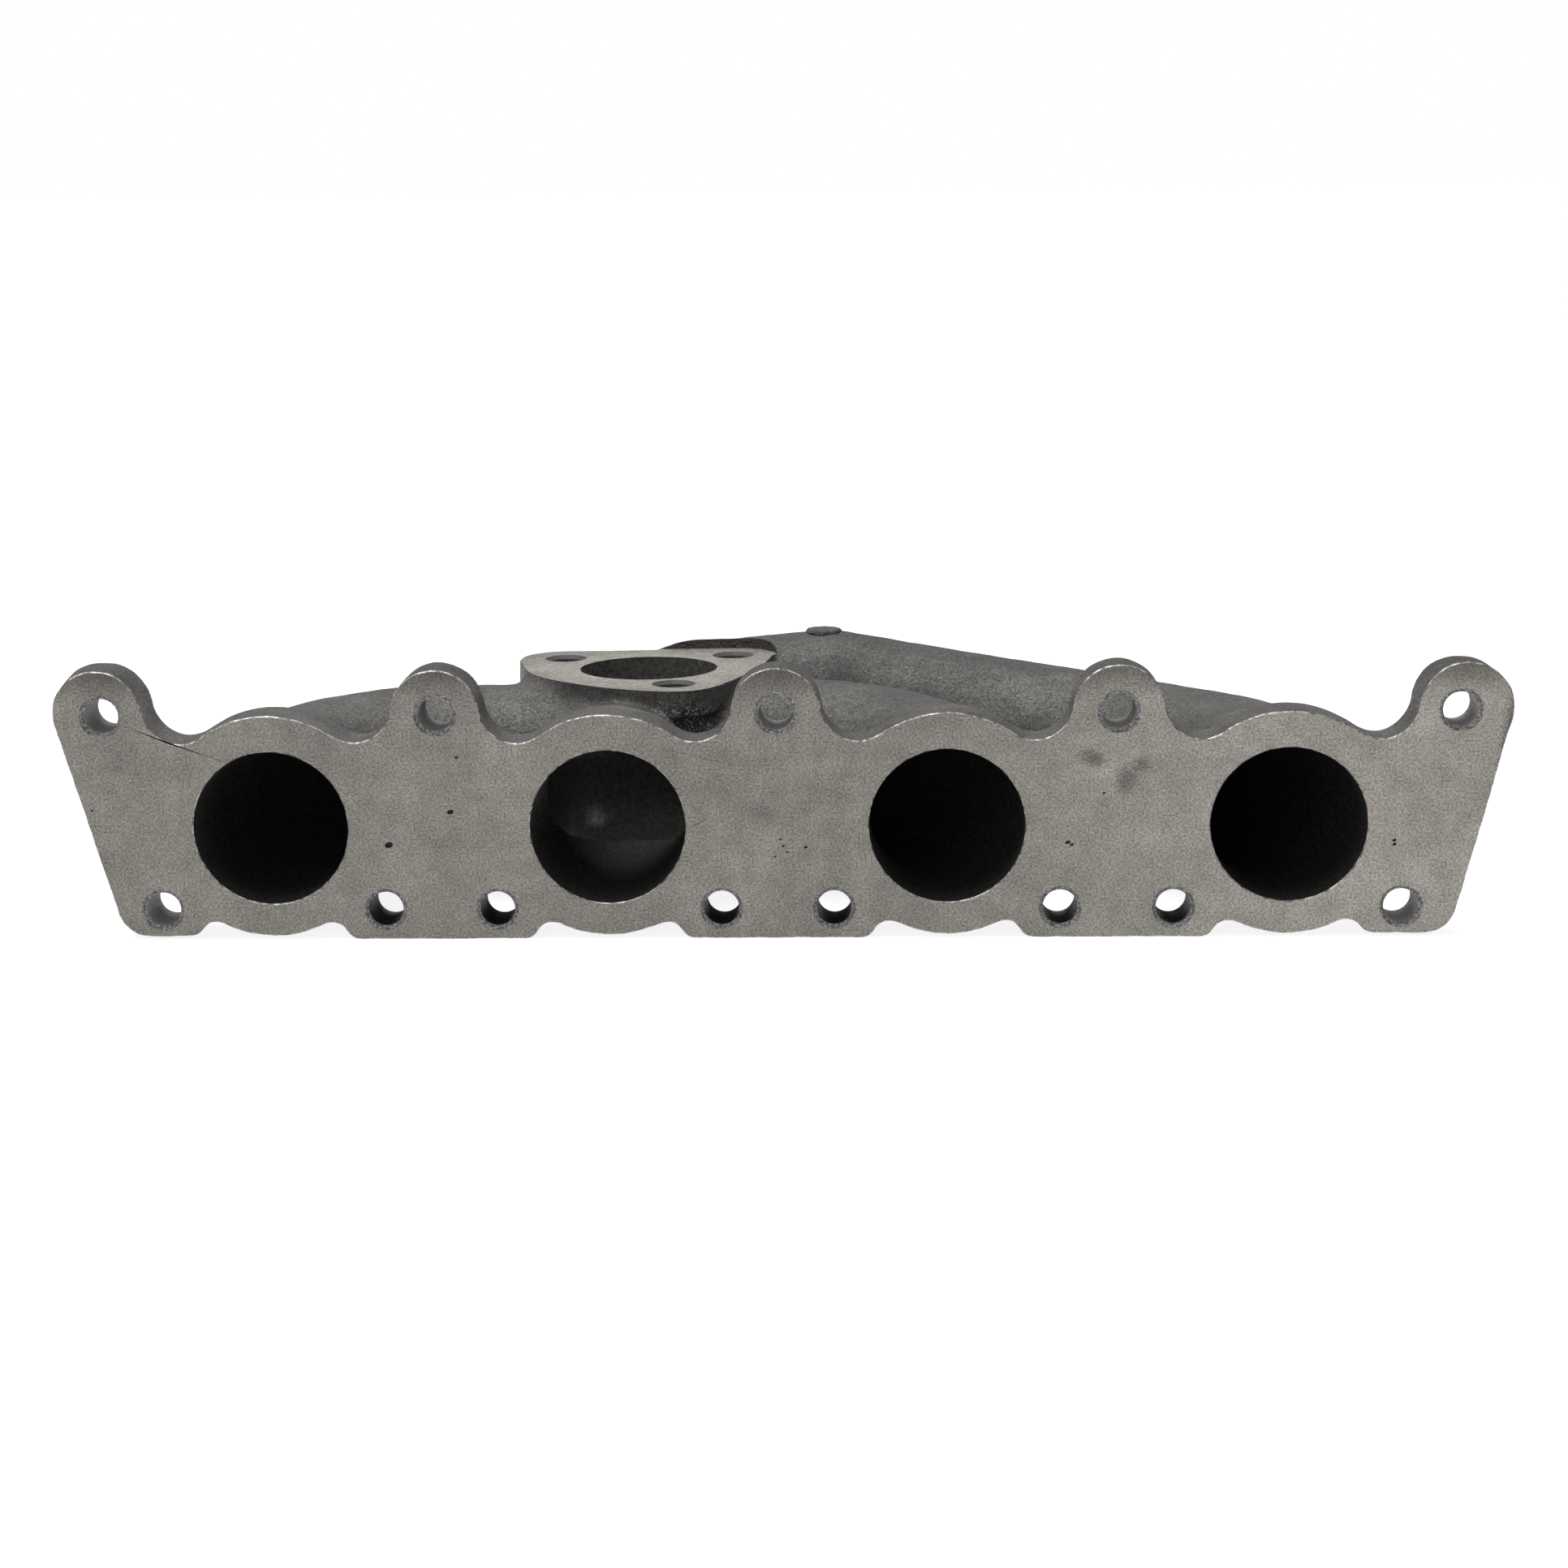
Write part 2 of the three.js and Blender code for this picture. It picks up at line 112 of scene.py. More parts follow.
# Each ear's centre from its stud hole, in X and Z, and its radius.
EAR_OFFSETS = [(-0.9, 0.4, 11.5), (-0.2, 0.2, 11.6), (0, 0.2, 11.6), (0, 0.4, 11.8), (1.5, 0.4, 11.9)]
VALLEY_RADIUS = 10
NOTCH_RADIUS = 5
FOOT_RADIUS = 4
FOOT_FROM_PORT = 22.5
END_FOOT_Z = BOTTOM_Z + 0.9
END_CORNER_X = (-165.3, 167.6)
END_CORNER_RADIUS = 8
PLATE_THICKNESS = 14.1
PLATE_TAPER = -0.008
PLATE_EDGE = 2.4
EAR_SPREADS = (1.8, 0.9)
EAR_SPREAD_FROM, EAR_SPREAD_RUN = 150, 12

PIPE_START_RADIUS = 26.0
PIPE_END_RADIUS = 23.5
BORE_END_RADIUS = 18.5
PIPE_STEPS = 40
PIPE_FROM_Y, BORE_FROM_Y = 8, -9
BEND_RADIUS = 45
BEND_HANDLE = 25
RUNNER_1_RISE, RUNNER_3_RISE = 3, 4
RUNNER_1_END_X, RUNNER_1_BORE_END_X = -60, -66
RUNNER_3_END_X, RUNNER_3_BORE_END_X = -26, -20
RUNNER_2_END, RUNNER_2_END_RADIUS, RUNNER_2_BORE_END_Y = (56, 1), 24.5, 50
LONG_END = (12, 109, 10.7)
LONG_LEAD, LONG_TRAIL, LONG_DIP = 31, 76, 14.5
LONG_PIPE_JOIN, LONG_BORE_JOIN = (-26, 108, 7.3), (-14, 107.5, 8.2)
COLLECTOR_LOOP = [(-58, 62, 3), (-44, 54, 2), (-26, 64, 4), (-26, 107, 6.8), (-46, 98, 2.5), (-56, 86, 2),
                  (-58, 62, 3)]
CHAMBER_LOOP = [(-56, 64, 1), (-44, 56, 0), (-26, 66, 1), (-24, 100, 2), (-44, 94, 1), (-54, 84, 0),
                (-56, 64, 1)]
CHAMBER_RADIUS = 17.5

WASTEGATE_BORE_RADIUS = 19
WASTEGATE_CORNER_RADII = (12.7, 12.8, 11.6)
# What joins each corner of the flange to the next: a bulging arc's radius, below zero, or a line.
WASTEGATE_ARCS = (-58, -150, "line")
WASTEGATE_PLATE = 7.5
WASTEGATE_NECK_RADIUS, WASTEGATE_NECK_FLARE = 25, 0.06
WASTEGATE_NECK_FROM_Z, WASTEGATE_WAIST_Z = -6, 18
WASTEGATE_BOSS_RADII, WASTEGATE_BOSS_FROM_Z = (10.5, 7.5, 9.0), 8
WASTEGATE_BORE_FROM_Z = 2
TURBO_OPENING = (57, 44, 9)
TURBO_OPENING_TOP_Z = -4
TURBO_NECK = (70, 58, 12)
TURBO_NECK_FLARE, TURBO_NECK_TOP_Z = 0.25, 2
TURBO_CORNER = 11
FLANGE_EDGE = 1.6
NECK_SINK = 3

PIPE_FILLET, BOSS_FILLET, TURBO_FILLET, HEAD_FILLET = 5, 6, 6, 7
PASSAGE_FILLET, CHAMBER_FILLET = 3, 11
# Height, size and seed of each layer of lumps on the cast skin.
CAST_LUMPS = [(0.16, 9, 1), (0.10, 4, 2), (0.06, 2.2, 3)]
ROUGH_PLACE, ROUGH_REACH = (-24, 38, 19), 11
BORE_ROUGH_FROM_Y = 6

STUD_RADIUS, STUD_CHAMFER, STUD_DEPTH = 4.5, 1.1, 24
TAP_RADIUS, TAP_CHAMFER = 5.0, 1.0
WASTEGATE_TAP_DEPTH, TURBO_TAP_DEPTH = 13, 24
RIM = 0.3
PIT_SINK = 0.3
BORE_SKIN = 0.45
SEAM = 1.2

SKIN, MILLED, DRILLED, BORE, BRIGHT = range(5)

# ---- The field ------------------------------------------------------------------------------------

BOX_LOW, BOX_HIGH = (np.array(corner) / MM for corner in CAD_BOX)
ORIGIN = BOX_LOW - MARGIN
AXES = [
    (start + STEP * np.arange(math.ceil((end + MARGIN - start) / STEP))).astype(np.float32)
    for start, end in zip(ORIGIN, BOX_HIGH)
]
X, Y, Z = np.ix_(*AXES)
SHAPE = tuple(len(axis) for axis in AXES)


def window(lowest, highest):
    """The part of the grid between two corners: its slices and its coordinates."""
    cut = tuple(slice(*np.searchsorted(axis, (a, b))) for axis, a, b in zip(AXES, lowest, highest))
    return cut, X[cut[0]], Y[:, cut[1]], Z[:, :, cut[2]]


def blend(a, b, radius):
    """Union of two fields with a fillet of about this radius."""
    share = np.clip(0.5 + 0.5 * (b - a) / radius, 0, 1)
    return b + (a - b) * share - radius * share * (1 - share)


def grow(start_x, end_x, start, end):
    """A value that goes from start to end between two places along X."""
    return start + (end - start) * np.clip((X - start_x) / (end_x - start_x), 0, 1)


def pipe(points, start_radius, end_radius):
    """Distance from a round bar along a line of points."""
    points = np.asarray(points, float)
    radii = np.linspace(start_radius, end_radius, len(points))
    field = np.full(SHAPE, FAR, np.float32)
    for a, b, radius_a, radius_b in zip(points, points[1:], radii, radii[1:]):
        room = max(radius_a, radius_b) + REACH
        cut, x, y, z = window(np.minimum(a, b) - room, np.maximum(a, b) + room)
        way = b - a
        along = (x - a[0]) * way[0] + (y - a[1]) * way[1] + (z - a[2]) * way[2]
        along = np.clip(along / (way @ way), 0, 1)
        gap = (x - a[0] - along * way[0]) ** 2 + (y - a[1] - along * way[1]) ** 2
        gap = np.sqrt(gap + (z - a[2] - along * way[2]) ** 2)
        field[cut] = np.minimum(field[cut], gap - radius_a - (radius_b - radius_a) * along)
    return field


def lumps(size, seed):
    """A smooth random field between -1 and 1 with lumps of this size."""
    random = np.random.default_rng(seed)
    field = random.uniform(-1, 1, [int(np.ptp(axis) / size) + 3 for axis in AXES]).astype(np.float32)
    for i, axis in enumerate(AXES):
        place = (axis - axis[0]) / size
        cell = place.astype(int)
        shape = [1, 1, 1]
        shape[i] = -1
        part = (place - cell).astype(np.float32).reshape(shape)
        part = part * part * (3 - 2 * part)
        field = field.take(cell, i) * (1 - part) + field.take(cell + 1, i) * part
    return field


def rounded(across, along, edge):
    """Distance from a plate, from the distances past its outline and past its face, its edge rounded."""
    a = across + edge
    b = along + edge
    return np.minimum(np.maximum(a, b), 0) + np.hypot(np.maximum(a, 0), np.maximum(b, 0)) - edge


# ---- Outlines -------------------------------------------------------------------------------------


def angle(vector):
    return math.atan2(vector[1], vector[0]) % math.tau


def arc(centre, radius, start, end, spacing=0.6):
    count = max(2, math.ceil(abs(end - start) * radius / spacing))
    turns = np.linspace(start, end, count + 1)
    return np.stack([centre[0] + radius * np.cos(turns), centre[1] + radius * np.sin(turns)], 1)


def touching_centre(a, b, radius):
    """The centre of the circle that touches circles a and b: outside them, or round both if negative."""
    way = np.subtract(b[:2], a[:2])
    span = np.hypot(*way)
    from_a, from_b = abs(radius + a[2]), abs(radius + b[2])
    along = (from_a**2 - from_b**2 + span**2) / (2 * span)
    aside = math.sqrt(from_a**2 - along**2)
    side = np.array([way[1], -way[0]]) * (1 if radius > 0 else -1)
    return np.array(a[:2]) + way * along / span + side * aside / span


def outline(circles):
    """Points counter-clockwise round circles (x, y, radius, join). A join is a line, the radius of a
    hollow fillet, or minus the radius of an arc that bulges."""
    joints = []
    for a, b in zip(circles, circles[1:] + circles[:1]):
        if a[3] == "line":
            way = np.subtract(b[:2], a[:2])
            turn = angle(way) - math.acos((a[2] - b[2]) / np.hypot(*way))
            joints.append((turn, turn, np.empty((0, 2))))
            continue
        centre = touching_centre(a, b, a[3])
        sign = 1 if a[3] > 0 else -1
        leave, arrive = angle(sign * (centre - a[:2])), angle(sign * (centre - b[:2]))
        start = leave + (math.pi if sign > 0 else 0)
        turn = (arrive - leave) % math.tau
        turn -= math.tau if sign > 0 else 0
        joints.append((leave, arrive, arc(centre, abs(a[3]), start, start + turn)[1:-1]))
    points = []
    for i, circle in enumerate(circles):
        start, end = joints[i - 1][1], joints[i][0]
        points += [arc(circle[:2], circle[2], start, start + (end - start) % math.tau), joints[i][2]]
    return np.concatenate(points)


def rounded_rectangle(width, depth, radius):
    x, y = width / 2 - radius, depth / 2 - radius
    return outline([(x, y, radius, "line"), (-x, y, radius, "line"), (-x, -y, radius, "line"),
                    (x, -y, radius, "line")])


def outline_distance(points, u, v):
    """Distance in a plane from a closed outline, negative inside it."""
    nearest = np.full(np.broadcast_shapes(u.shape, v.shape), FAR**2, np.float32)
    inside = np.zeros(nearest.shape, bool)
    for a, b in zip(points, np.roll(points, -1, 0)):
        way = b - a
        length = way @ way
        if length < 1e-12:
            continue
        along = np.clip(((u - a[0]) * way[0] + (v - a[1]) * way[1]) / length, 0, 1)
        gap = (u - a[0] - along * way[0]) ** 2 + (v - a[1] - along * way[1]) ** 2
        nearest = np.minimum(nearest, gap)
        if abs(way[1]) > 1e-9:
            crosses = ((a[1] > v) != (b[1] > v)) & (u < way[0] * (v - a[1]) / way[1] + a[0])
            inside ^= crosses
    return np.where(inside, -1, 1) * np.sqrt(nearest)


def head_outline():
    ears = [(x + dx, z + dz, r) for (x, _, z), (dx, dz, r) in zip(UPPER_STUDS, EAR_OFFSETS)]
    top = []
    for ear, port in zip(ears[:0:-1], PORT_X[::-1]):
        top += [(*ear, VALLEY_RADIUS), (port, 0, HUMP_RADIUS, VALLEY_RADIUS)]
    top.append((*ears[0], "line"))
    bottom = []
    for x in PORT_X:
        left = END_FOOT_Z if x == PORT_X[0] else BOTTOM_Z
        right = END_FOOT_Z if x == PORT_X[-1] else BOTTOM_Z
        bottom += [
            (x - FOOT_FROM_PORT, left + FOOT_RADIUS, FOOT_RADIUS, NOTCH_RADIUS),
            (x, 0, BULGE_RADIUS, NOTCH_RADIUS),
            (x + FOOT_FROM_PORT, right + FOOT_RADIUS, FOOT_RADIUS, "line"),
        ]
    ends = [(x, END_FOOT_Z + END_CORNER_RADIUS, END_CORNER_RADIUS, "line") for x in END_CORNER_X]
    return outline([ends[1], *top, ends[0], *bottom])


def wastegate_outline(margin=0.0):
    circles = []
    for (x, y, _), radius, join in zip(WASTEGATE_BOLTS, WASTEGATE_CORNER_RADII, WASTEGATE_ARCS):
        circles.append((x, y, radius + margin, join if join == "line" else join - margin))
    return outline(circles)


# ---- Parts of the field ---------------------------------------------------------------------------


def head_plate():
    """The head flange, whose end ears widen to the left towards their rear, as their mould left them."""
    x, z = np.meshgrid(AXES[0], AXES[2], indexing="ij")
    flat = outline_distance(head_outline(), x, z)
    along = Y - (PLATE_THICKNESS + PLATE_TAPER * X)
    spread = np.where(X < 0, *EAR_SPREADS) * np.clip((np.abs(X) - EAR_SPREAD_FROM) / EAR_SPREAD_RUN, 0, 1)
    place = (X + spread * np.clip(Y / PLATE_THICKNESS, 0, 1) - AXES[0][0]) / STEP
    place = np.clip(place[:, :, 0], 0, len(AXES[0]) - LAST_CELL)
    cell = place.astype(int)
    part = (place - cell)[:, :, None]
    leaning = flat[cell] * (1 - part) + flat[cell + 1] * part
    across = np.minimum(flat[:, None, :], leaning)
    return np.where(Y < COLLAR_END_Y + REACH, rounded(across, along, PLATE_EDGE), FAR).astype(np.float32)


def bezier(points, count):
    """Points along a curve from the first of four points to the last, pulled by the two between."""
    t = np.linspace(0, 1, count)[:, None]
    a, b, c, d = (np.array(p, float) for p in points)
    return a * (1 - t) ** 3 + b * 3 * t * (1 - t) ** 2 + c * 3 * t**2 * (1 - t) + d * t**3


def bend_route(port, side, rise, end_x, start_y):
    """The middle line of a pipe that leaves its port and bends to one side behind the head plate."""
    turned = (port + side * BEND_RADIUS, COLLAR_END_Y + BEND_RADIUS, rise)
    bends = [
        (port, COLLAR_END_Y, 0),
        (port, COLLAR_END_Y + BEND_HANDLE, 0),
        (turned[0] - side * BEND_HANDLE, turned[1], rise),
        turned,
    ]
    return np.vstack([(port, start_y, 0), bezier(bends, PIPE_STEPS), (end_x, turned[1], rise)])


def long_route(join, start_y):
    """The middle line of runner 4, from its port over runner 3 to a place in the collector."""
    x, y, z = LONG_END
    bends = [
        (PORT_X[3], COLLAR_END_Y, 0),
        (PORT_X[3], COLLAR_END_Y + LONG_LEAD, 0),
        (x + LONG_TRAIL, y, z - LONG_DIP),
        LONG_END,
    ]
    return np.vstack([(PORT_X[3], start_y, 0), bezier(bends, PIPE_STEPS), join])


def wastegate_part():
    """The wastegate flange, its neck and a boss under each of its holes."""
    x, y = np.meshgrid(AXES[0], AXES[1], indexing="ij")
    across = outline_distance(wastegate_outline(), x, y)[:, :, None]
    plate = rounded(across, WASTEGATE_FACE_Z - WASTEGATE_PLATE - Z, FLANGE_EDGE)
    plate = np.maximum(plate, Z - WASTEGATE_FACE_Z - MARGIN / 2)
    below_face = Z - WASTEGATE_FACE_Z + NECK_SINK
    neck = np.hypot(X - WASTEGATE_X, Y - WASTEGATE_Y) - WASTEGATE_NECK_RADIUS
    neck = neck - WASTEGATE_NECK_FLARE * np.abs(Z - WASTEGATE_WAIST_Z)
    neck = np.maximum(np.maximum(neck, below_face), WASTEGATE_NECK_FROM_Z - Z)
    for (bolt_x, bolt_y, _), radius in zip(WASTEGATE_BOLTS, WASTEGATE_BOSS_RADII):
        boss = np.hypot(X - bolt_x, Y - bolt_y) - radius
        boss = np.maximum(np.maximum(boss, below_face), WASTEGATE_BOSS_FROM_Z - Z)
        neck = blend(neck, boss, BOSS_FILLET)
    return blend(plate, neck, grow(-50, -64, 3, 6))


def turbo_part():
    """The turbo flange and the neck that widens from it towards the collector."""
    x, y = np.meshgrid(AXES[0] - TURBO_X, AXES[1] - TURBO_Y, indexing="ij")
    size = TURBO_HIGH - TURBO_LOW
    across = outline_distance(rounded_rectangle(size[0], size[1], TURBO_CORNER), x, y)[:, :, None]
    plate = rounded(across, Z - TURBO_HIGH[2], FLANGE_EDGE)
    plate = np.maximum(plate, TURBO_LOW[2] - MARGIN / 2 - Z)
    inner = outline_distance(rounded_rectangle(*TURBO_NECK), x, y)[:, :, None]
    neck = np.maximum(inner - TURBO_NECK_FLARE * (Z - TURBO_HIGH[2]), Z - TURBO_NECK_TOP_Z)
    neck = np.maximum(neck, TURBO_LOW[2] + NECK_SINK - Z)
    return blend(plate, neck, TURBO_FILLET)


def outer_field():
    """The casting's outside, with no passages and with room to machine its faces."""
    pipes = [
        pipe(bend_route(PORT_X[0], 1, RUNNER_1_RISE, RUNNER_1_END_X, PIPE_FROM_Y),
             PIPE_START_RADIUS, PIPE_END_RADIUS),
        pipe([(PORT_X[1], PIPE_FROM_Y, 0), (PORT_X[1], *RUNNER_2_END)],
             PIPE_START_RADIUS, RUNNER_2_END_RADIUS),
        pipe(bend_route(PORT_X[2], -1, RUNNER_3_RISE, RUNNER_3_END_X, PIPE_FROM_Y),
             PIPE_START_RADIUS, PIPE_END_RADIUS),
        pipe(long_route(LONG_PIPE_JOIN, PIPE_FROM_Y), PIPE_START_RADIUS, PIPE_END_RADIUS),
    ]
    body = pipe(COLLECTOR_LOOP, PIPE_END_RADIUS, PIPE_END_RADIUS)
    for field in pipes:
        body = blend(body, field, PIPE_FILLET)
    body = blend(body, turbo_part(), TURBO_FILLET)
    body = blend(body, wastegate_part(), grow(-48, -64, 2, 6))
    body = blend(body, head_plate(), HEAD_FILLET)
    skin = sum(height * lumps(size, seed) for height, size, seed in CAST_LUMPS)
    x, y, z = ROUGH_PLACE
    rough = np.exp(-((X - x) ** 2 + (Y - y) ** 2 + (Z - z) ** 2) / ROUGH_REACH**2)
    skin = skin * (1 + 2.2 * rough) + 0.35 * rough * lumps(1.7, 5)
    return np.maximum((body + skin).astype(np.float32), -Y - MARGIN / 2)


def passage_field():
    """The gas passages: four ports, the chamber, the wastegate port and the turbo opening."""
    x, y = np.meshgrid(AXES[0] - TURBO_X, AXES[1] - TURBO_Y, indexing="ij")
    opening = outline_distance(rounded_rectangle(*TURBO_OPENING), x, y)[:, :, None]
    opening = np.maximum(opening, Z - TURBO_OPENING_TOP_Z)
    wastegate = np.hypot(X - WASTEGATE_X, Y - WASTEGATE_Y) - WASTEGATE_BORE_RADIUS
    wastegate = np.maximum(wastegate, WASTEGATE_BORE_FROM_Z - Z)
    gas = blend(opening, pipe(CHAMBER_LOOP, CHAMBER_RADIUS, CHAMBER_RADIUS), CHAMBER_FILLET)
    for field in (
        pipe(bend_route(PORT_X[0], 1, RUNNER_1_RISE, RUNNER_1_BORE_END_X, BORE_FROM_Y),
             PORT_RADIUS, BORE_END_RADIUS),
        pipe([(PORT_X[1], BORE_FROM_Y, 0), (PORT_X[1], RUNNER_2_BORE_END_Y, 0)], PORT_RADIUS, PORT_RADIUS),
        pipe(bend_route(PORT_X[2], -1, RUNNER_3_RISE, RUNNER_3_BORE_END_X, BORE_FROM_Y),
             PORT_RADIUS, BORE_END_RADIUS),
        pipe(long_route(LONG_BORE_JOIN, BORE_FROM_Y), PORT_RADIUS, BORE_END_RADIUS),
        wastegate,
    ):
        gas = blend(gas, field, PASSAGE_FILLET)
    return (gas + 0.10 * lumps(5, 4) * np.clip(Y / BORE_ROUGH_FROM_Y - 1, 0, 1)).astype(np.float32)


# ---- Meshes ---------------------------------------------------------------------------------------


def sample(field, points):
    """The field's values at points, between its grid places."""
    place = np.clip((points - ORIGIN) / STEP, 0, np.array(SHAPE) - LAST_CELL)
    cell = place.astype(int)
    part = place - cell
    total = 0
    for corner in np.ndindex(2, 2, 2):
        weight = np.prod(np.where(corner, part, 1 - part), 1)
        total = total + weight * field[tuple((cell + corner).T)]
    return total


def slope(field, points):
    """The unit direction in which the field grows at points."""
    reach = np.eye(3) * STEP * 0.75
    way = np.stack([sample(field, points + r) - sample(field, points - r) for r in reach], 1)
    return way / np.maximum(np.linalg.norm(way, axis=1, keepdims=True), 1e-9)


def surface(field, origin=ORIGIN, step=STEP):
    """Vertices and four-sided faces of the field's zero surface, by surface nets."""
    inside = field < 0
    cells = tuple(n - 1 for n in field.shape)
    offsets = list(np.ndindex(2, 2, 2))
    count = sum(inside[tuple(slice(o, o + n) for o, n in zip(offset, cells))].astype(np.int8)
                for offset in offsets)
    active = np.argwhere((count > 0) & (count < 8))
    index = np.full(cells, -1)
    index[tuple(active.T)] = np.arange(len(active))
    total = np.zeros((len(active), 3))
    hits = np.zeros(len(active))
    for start in offsets:
        for axis in range(3):
            if start[axis]:
                continue
            end = tuple(s + (i == axis) for i, s in enumerate(start))
            a = field[tuple((active + start).T)].astype(float)
            b = field[tuple((active + end).T)].astype(float)
            crosses = (a < 0) != (b < 0)
            share = np.where(crosses, a / np.where(crosses, a - b, 1), 0)
            spot = active + start + share[:, None] * np.eye(3)[axis]
            total += np.where(crosses[:, None], spot, 0)
            hits += crosses
    vertices = origin + step * total / hits[:, None]
    faces = []
    for axis in range(3):
        u, v = np.eye(3, dtype=int)[(axis + 1) % 3], np.eye(3, dtype=int)[(axis + 2) % 3]
        ahead = np.roll(inside, -1, axis)
        spots = np.argwhere(inside != ahead)
        limit = np.array(cells)
        fits = np.all((spots - u - v >= 0) & (spots < limit), 1)
        spots = spots[fits]
        quad = np.stack([index[tuple((spots - shift).T)] for shift in (0 * u, u, u + v, v)], 1)
        outwards = inside[tuple(spots.T)]
        quad[~outwards] = quad[~outwards][:, ::-1]
        faces.append(quad)
    return vertices, np.concatenate(faces)


def mesh_object(name, vertices, faces, materials):
    """An object whose faces, all with the same number of sides, come from points in millimetres."""
    sides = len(faces[0])
    mesh = bpy.data.meshes.new(name)
    mesh.vertices.add(len(vertices))
    mesh.vertices.foreach_set("co", (np.asarray(vertices) * MM).astype(np.float32).ravel())
    mesh.loops.add(len(faces) * sides)
    mesh.loops.foreach_set("vertex_index", np.asarray(faces, np.int32).ravel())
    mesh.polygons.add(len(faces))
    mesh.polygons.foreach_set("loop_start", np.arange(0, len(faces) * sides, sides, dtype=np.int32))
    mesh.update(calc_edges=True)
    for material in materials:
        mesh.materials.append(material)
    item = bpy.data.objects.new(name, mesh)
    bpy.context.scene.collection.objects.link(item)
    return item


def prism(points, low_z, high_z):
    """A closed prism over a counter-clockwise outline, as vertices and triangles."""
    count = len(points)
    centre = points.mean(0)
    vertices = [(x, y, low_z) for x, y in points] + [(x, y, high_z) for x, y in points]
    vertices += [(*centre, low_z), (*centre, high_z)]
    faces = []
    for i in range(count):
        j = (i + 1) % count
        faces += [(i, j, count + j), (i, count + j, count + i)]
        faces += [(2 * count, j, i), (2 * count + 1, count + i, count + j)]
    return np.array(vertices, float), faces


def box_prism(lowest, highest):
    (x0, y0, z0), (x1, y1, z1) = lowest, highest
    return prism(np.array([(x0, y0), (x1, y0), (x1, y1), (x0, y1)], float), z0, z1)


def drill(radius, chamfer, depth, sides=48):
    """A drill that points down from a chamfered mouth at z = 0, as vertices and triangles."""
    rings = [(radius + chamfer + 2, 2), (radius + chamfer, 0), (radius, -chamfer), (radius, -depth)]
    turns = np.linspace(0, math.tau, sides, endpoint=False)
    vertices = [(r * math.cos(t), r * math.sin(t), z) for r, z in rings for t in turns]
    vertices += [(0, 0, rings[0][1]), (0, 0, -depth)]
    faces = []
    last = len(rings) - 1
    for i in range(sides):
        j = (i + 1) % sides
        for ring in range(last):
            a, b = ring * sides, (ring + 1) * sides
            faces += [(a + i, b + i, b + j), (a + i, b + j, a + j)]
        faces += [(len(vertices) - 2, i, j), (len(vertices) - 1, last * sides + j, last * sides + i)]
    return np.array(vertices), faces


def pit(radius, sides=14):
    """A ball for a casting pore, squashed a little, as vertices and triangles."""
    rings = 7
    vertices = [(0, 0, radius)]
    for ring in range(1, rings):
        tilt = math.pi * ring / rings
        for i in range(sides):
            turn = math.tau * i / sides
            wide = radius * math.sin(tilt) * (1 + 0.18 * math.sin(2 * turn + 1))
            vertices.append((wide * math.cos(turn), wide * math.sin(turn), radius * math.cos(tilt)))
    vertices.append((0, 0, -radius))
    faces = []
    last = 1 + (rings - 2) * sides
    for i in range(sides):
        j = (i + 1) % sides
        faces += [(0, 1 + i, 1 + j), (len(vertices) - 1, last + j, last + i)]
        for ring in range(rings - 2):
            a, b = 1 + ring * sides, 1 + (ring + 1) * sides
            faces += [(a + i, b + i, b + j), (a + i, b + j, a + j)]
    return np.array(vertices), faces


def cut(item, shapes, material, operation="DIFFERENCE"):
    """Cuts an object with closed shapes that stay clear of each other, and gives the cuts a material."""
    vertices, faces, count = [], [], 0
    for points, triangles in shapes:
        vertices.append(points)
        faces.append(np.array(triangles) + count)
        count += len(points)
    cutter = mesh_object("cutter", np.concatenate(vertices), np.concatenate(faces), [material])
    modifier = item.modifiers.new("cut", "BOOLEAN")
    modifier.object = cutter
    modifier.operation = operation
    modifier.solver = "MANIFOLD"
    modifier.material_mode = "TRANSFER"
    depsgraph = bpy.context.evaluated_depsgraph_get()
    mesh = bpy.data.meshes.new_from_object(item.evaluated_get(depsgraph))
    item.modifiers.clear()
    spent = [item.data, cutter.data]
    item.data = mesh
    bpy.data.objects.remove(cutter)
    for old in spent:
        bpy.data.meshes.remove(old)


def facing(shape, centre, direction):
    """A shape that points down its own Z, turned to a direction and moved to a centre."""
    vertices, faces = shape
    turn = np.array(Vector((0, 0, 1)).rotation_difference(Vector(direction)).to_matrix())
    return vertices @ turn.T + np.array(centre), faces


# ---- Machining ------------------------------------------------------------------------------------

FRONT, UP, DOWN = (0, -1, 0), (0, 0, 1), (0, 0, -1)
# Place in X and Z and radius of each pore in the head face.
PITS = [
    (-101.2, -4.5, 1.0), (-84.8, 4.2, 0.8), (-82.7, 18.7, 0.5), (-178.5, 5.0, 0.35), (7.4, -5.5, 0.45),
    (75.2, -4.5, 0.6), (76.2, -5.1, 0.45), (159.0, -4.3, 0.5), (159.1, -5.3, 0.5), (84.3, 8.5, 0.35),
    (0.8, -3.4, 0.3), (1.6, -5.2, 0.35), (2.6, -6.8, 0.3), (-0.6, -8.0, 0.3),
]


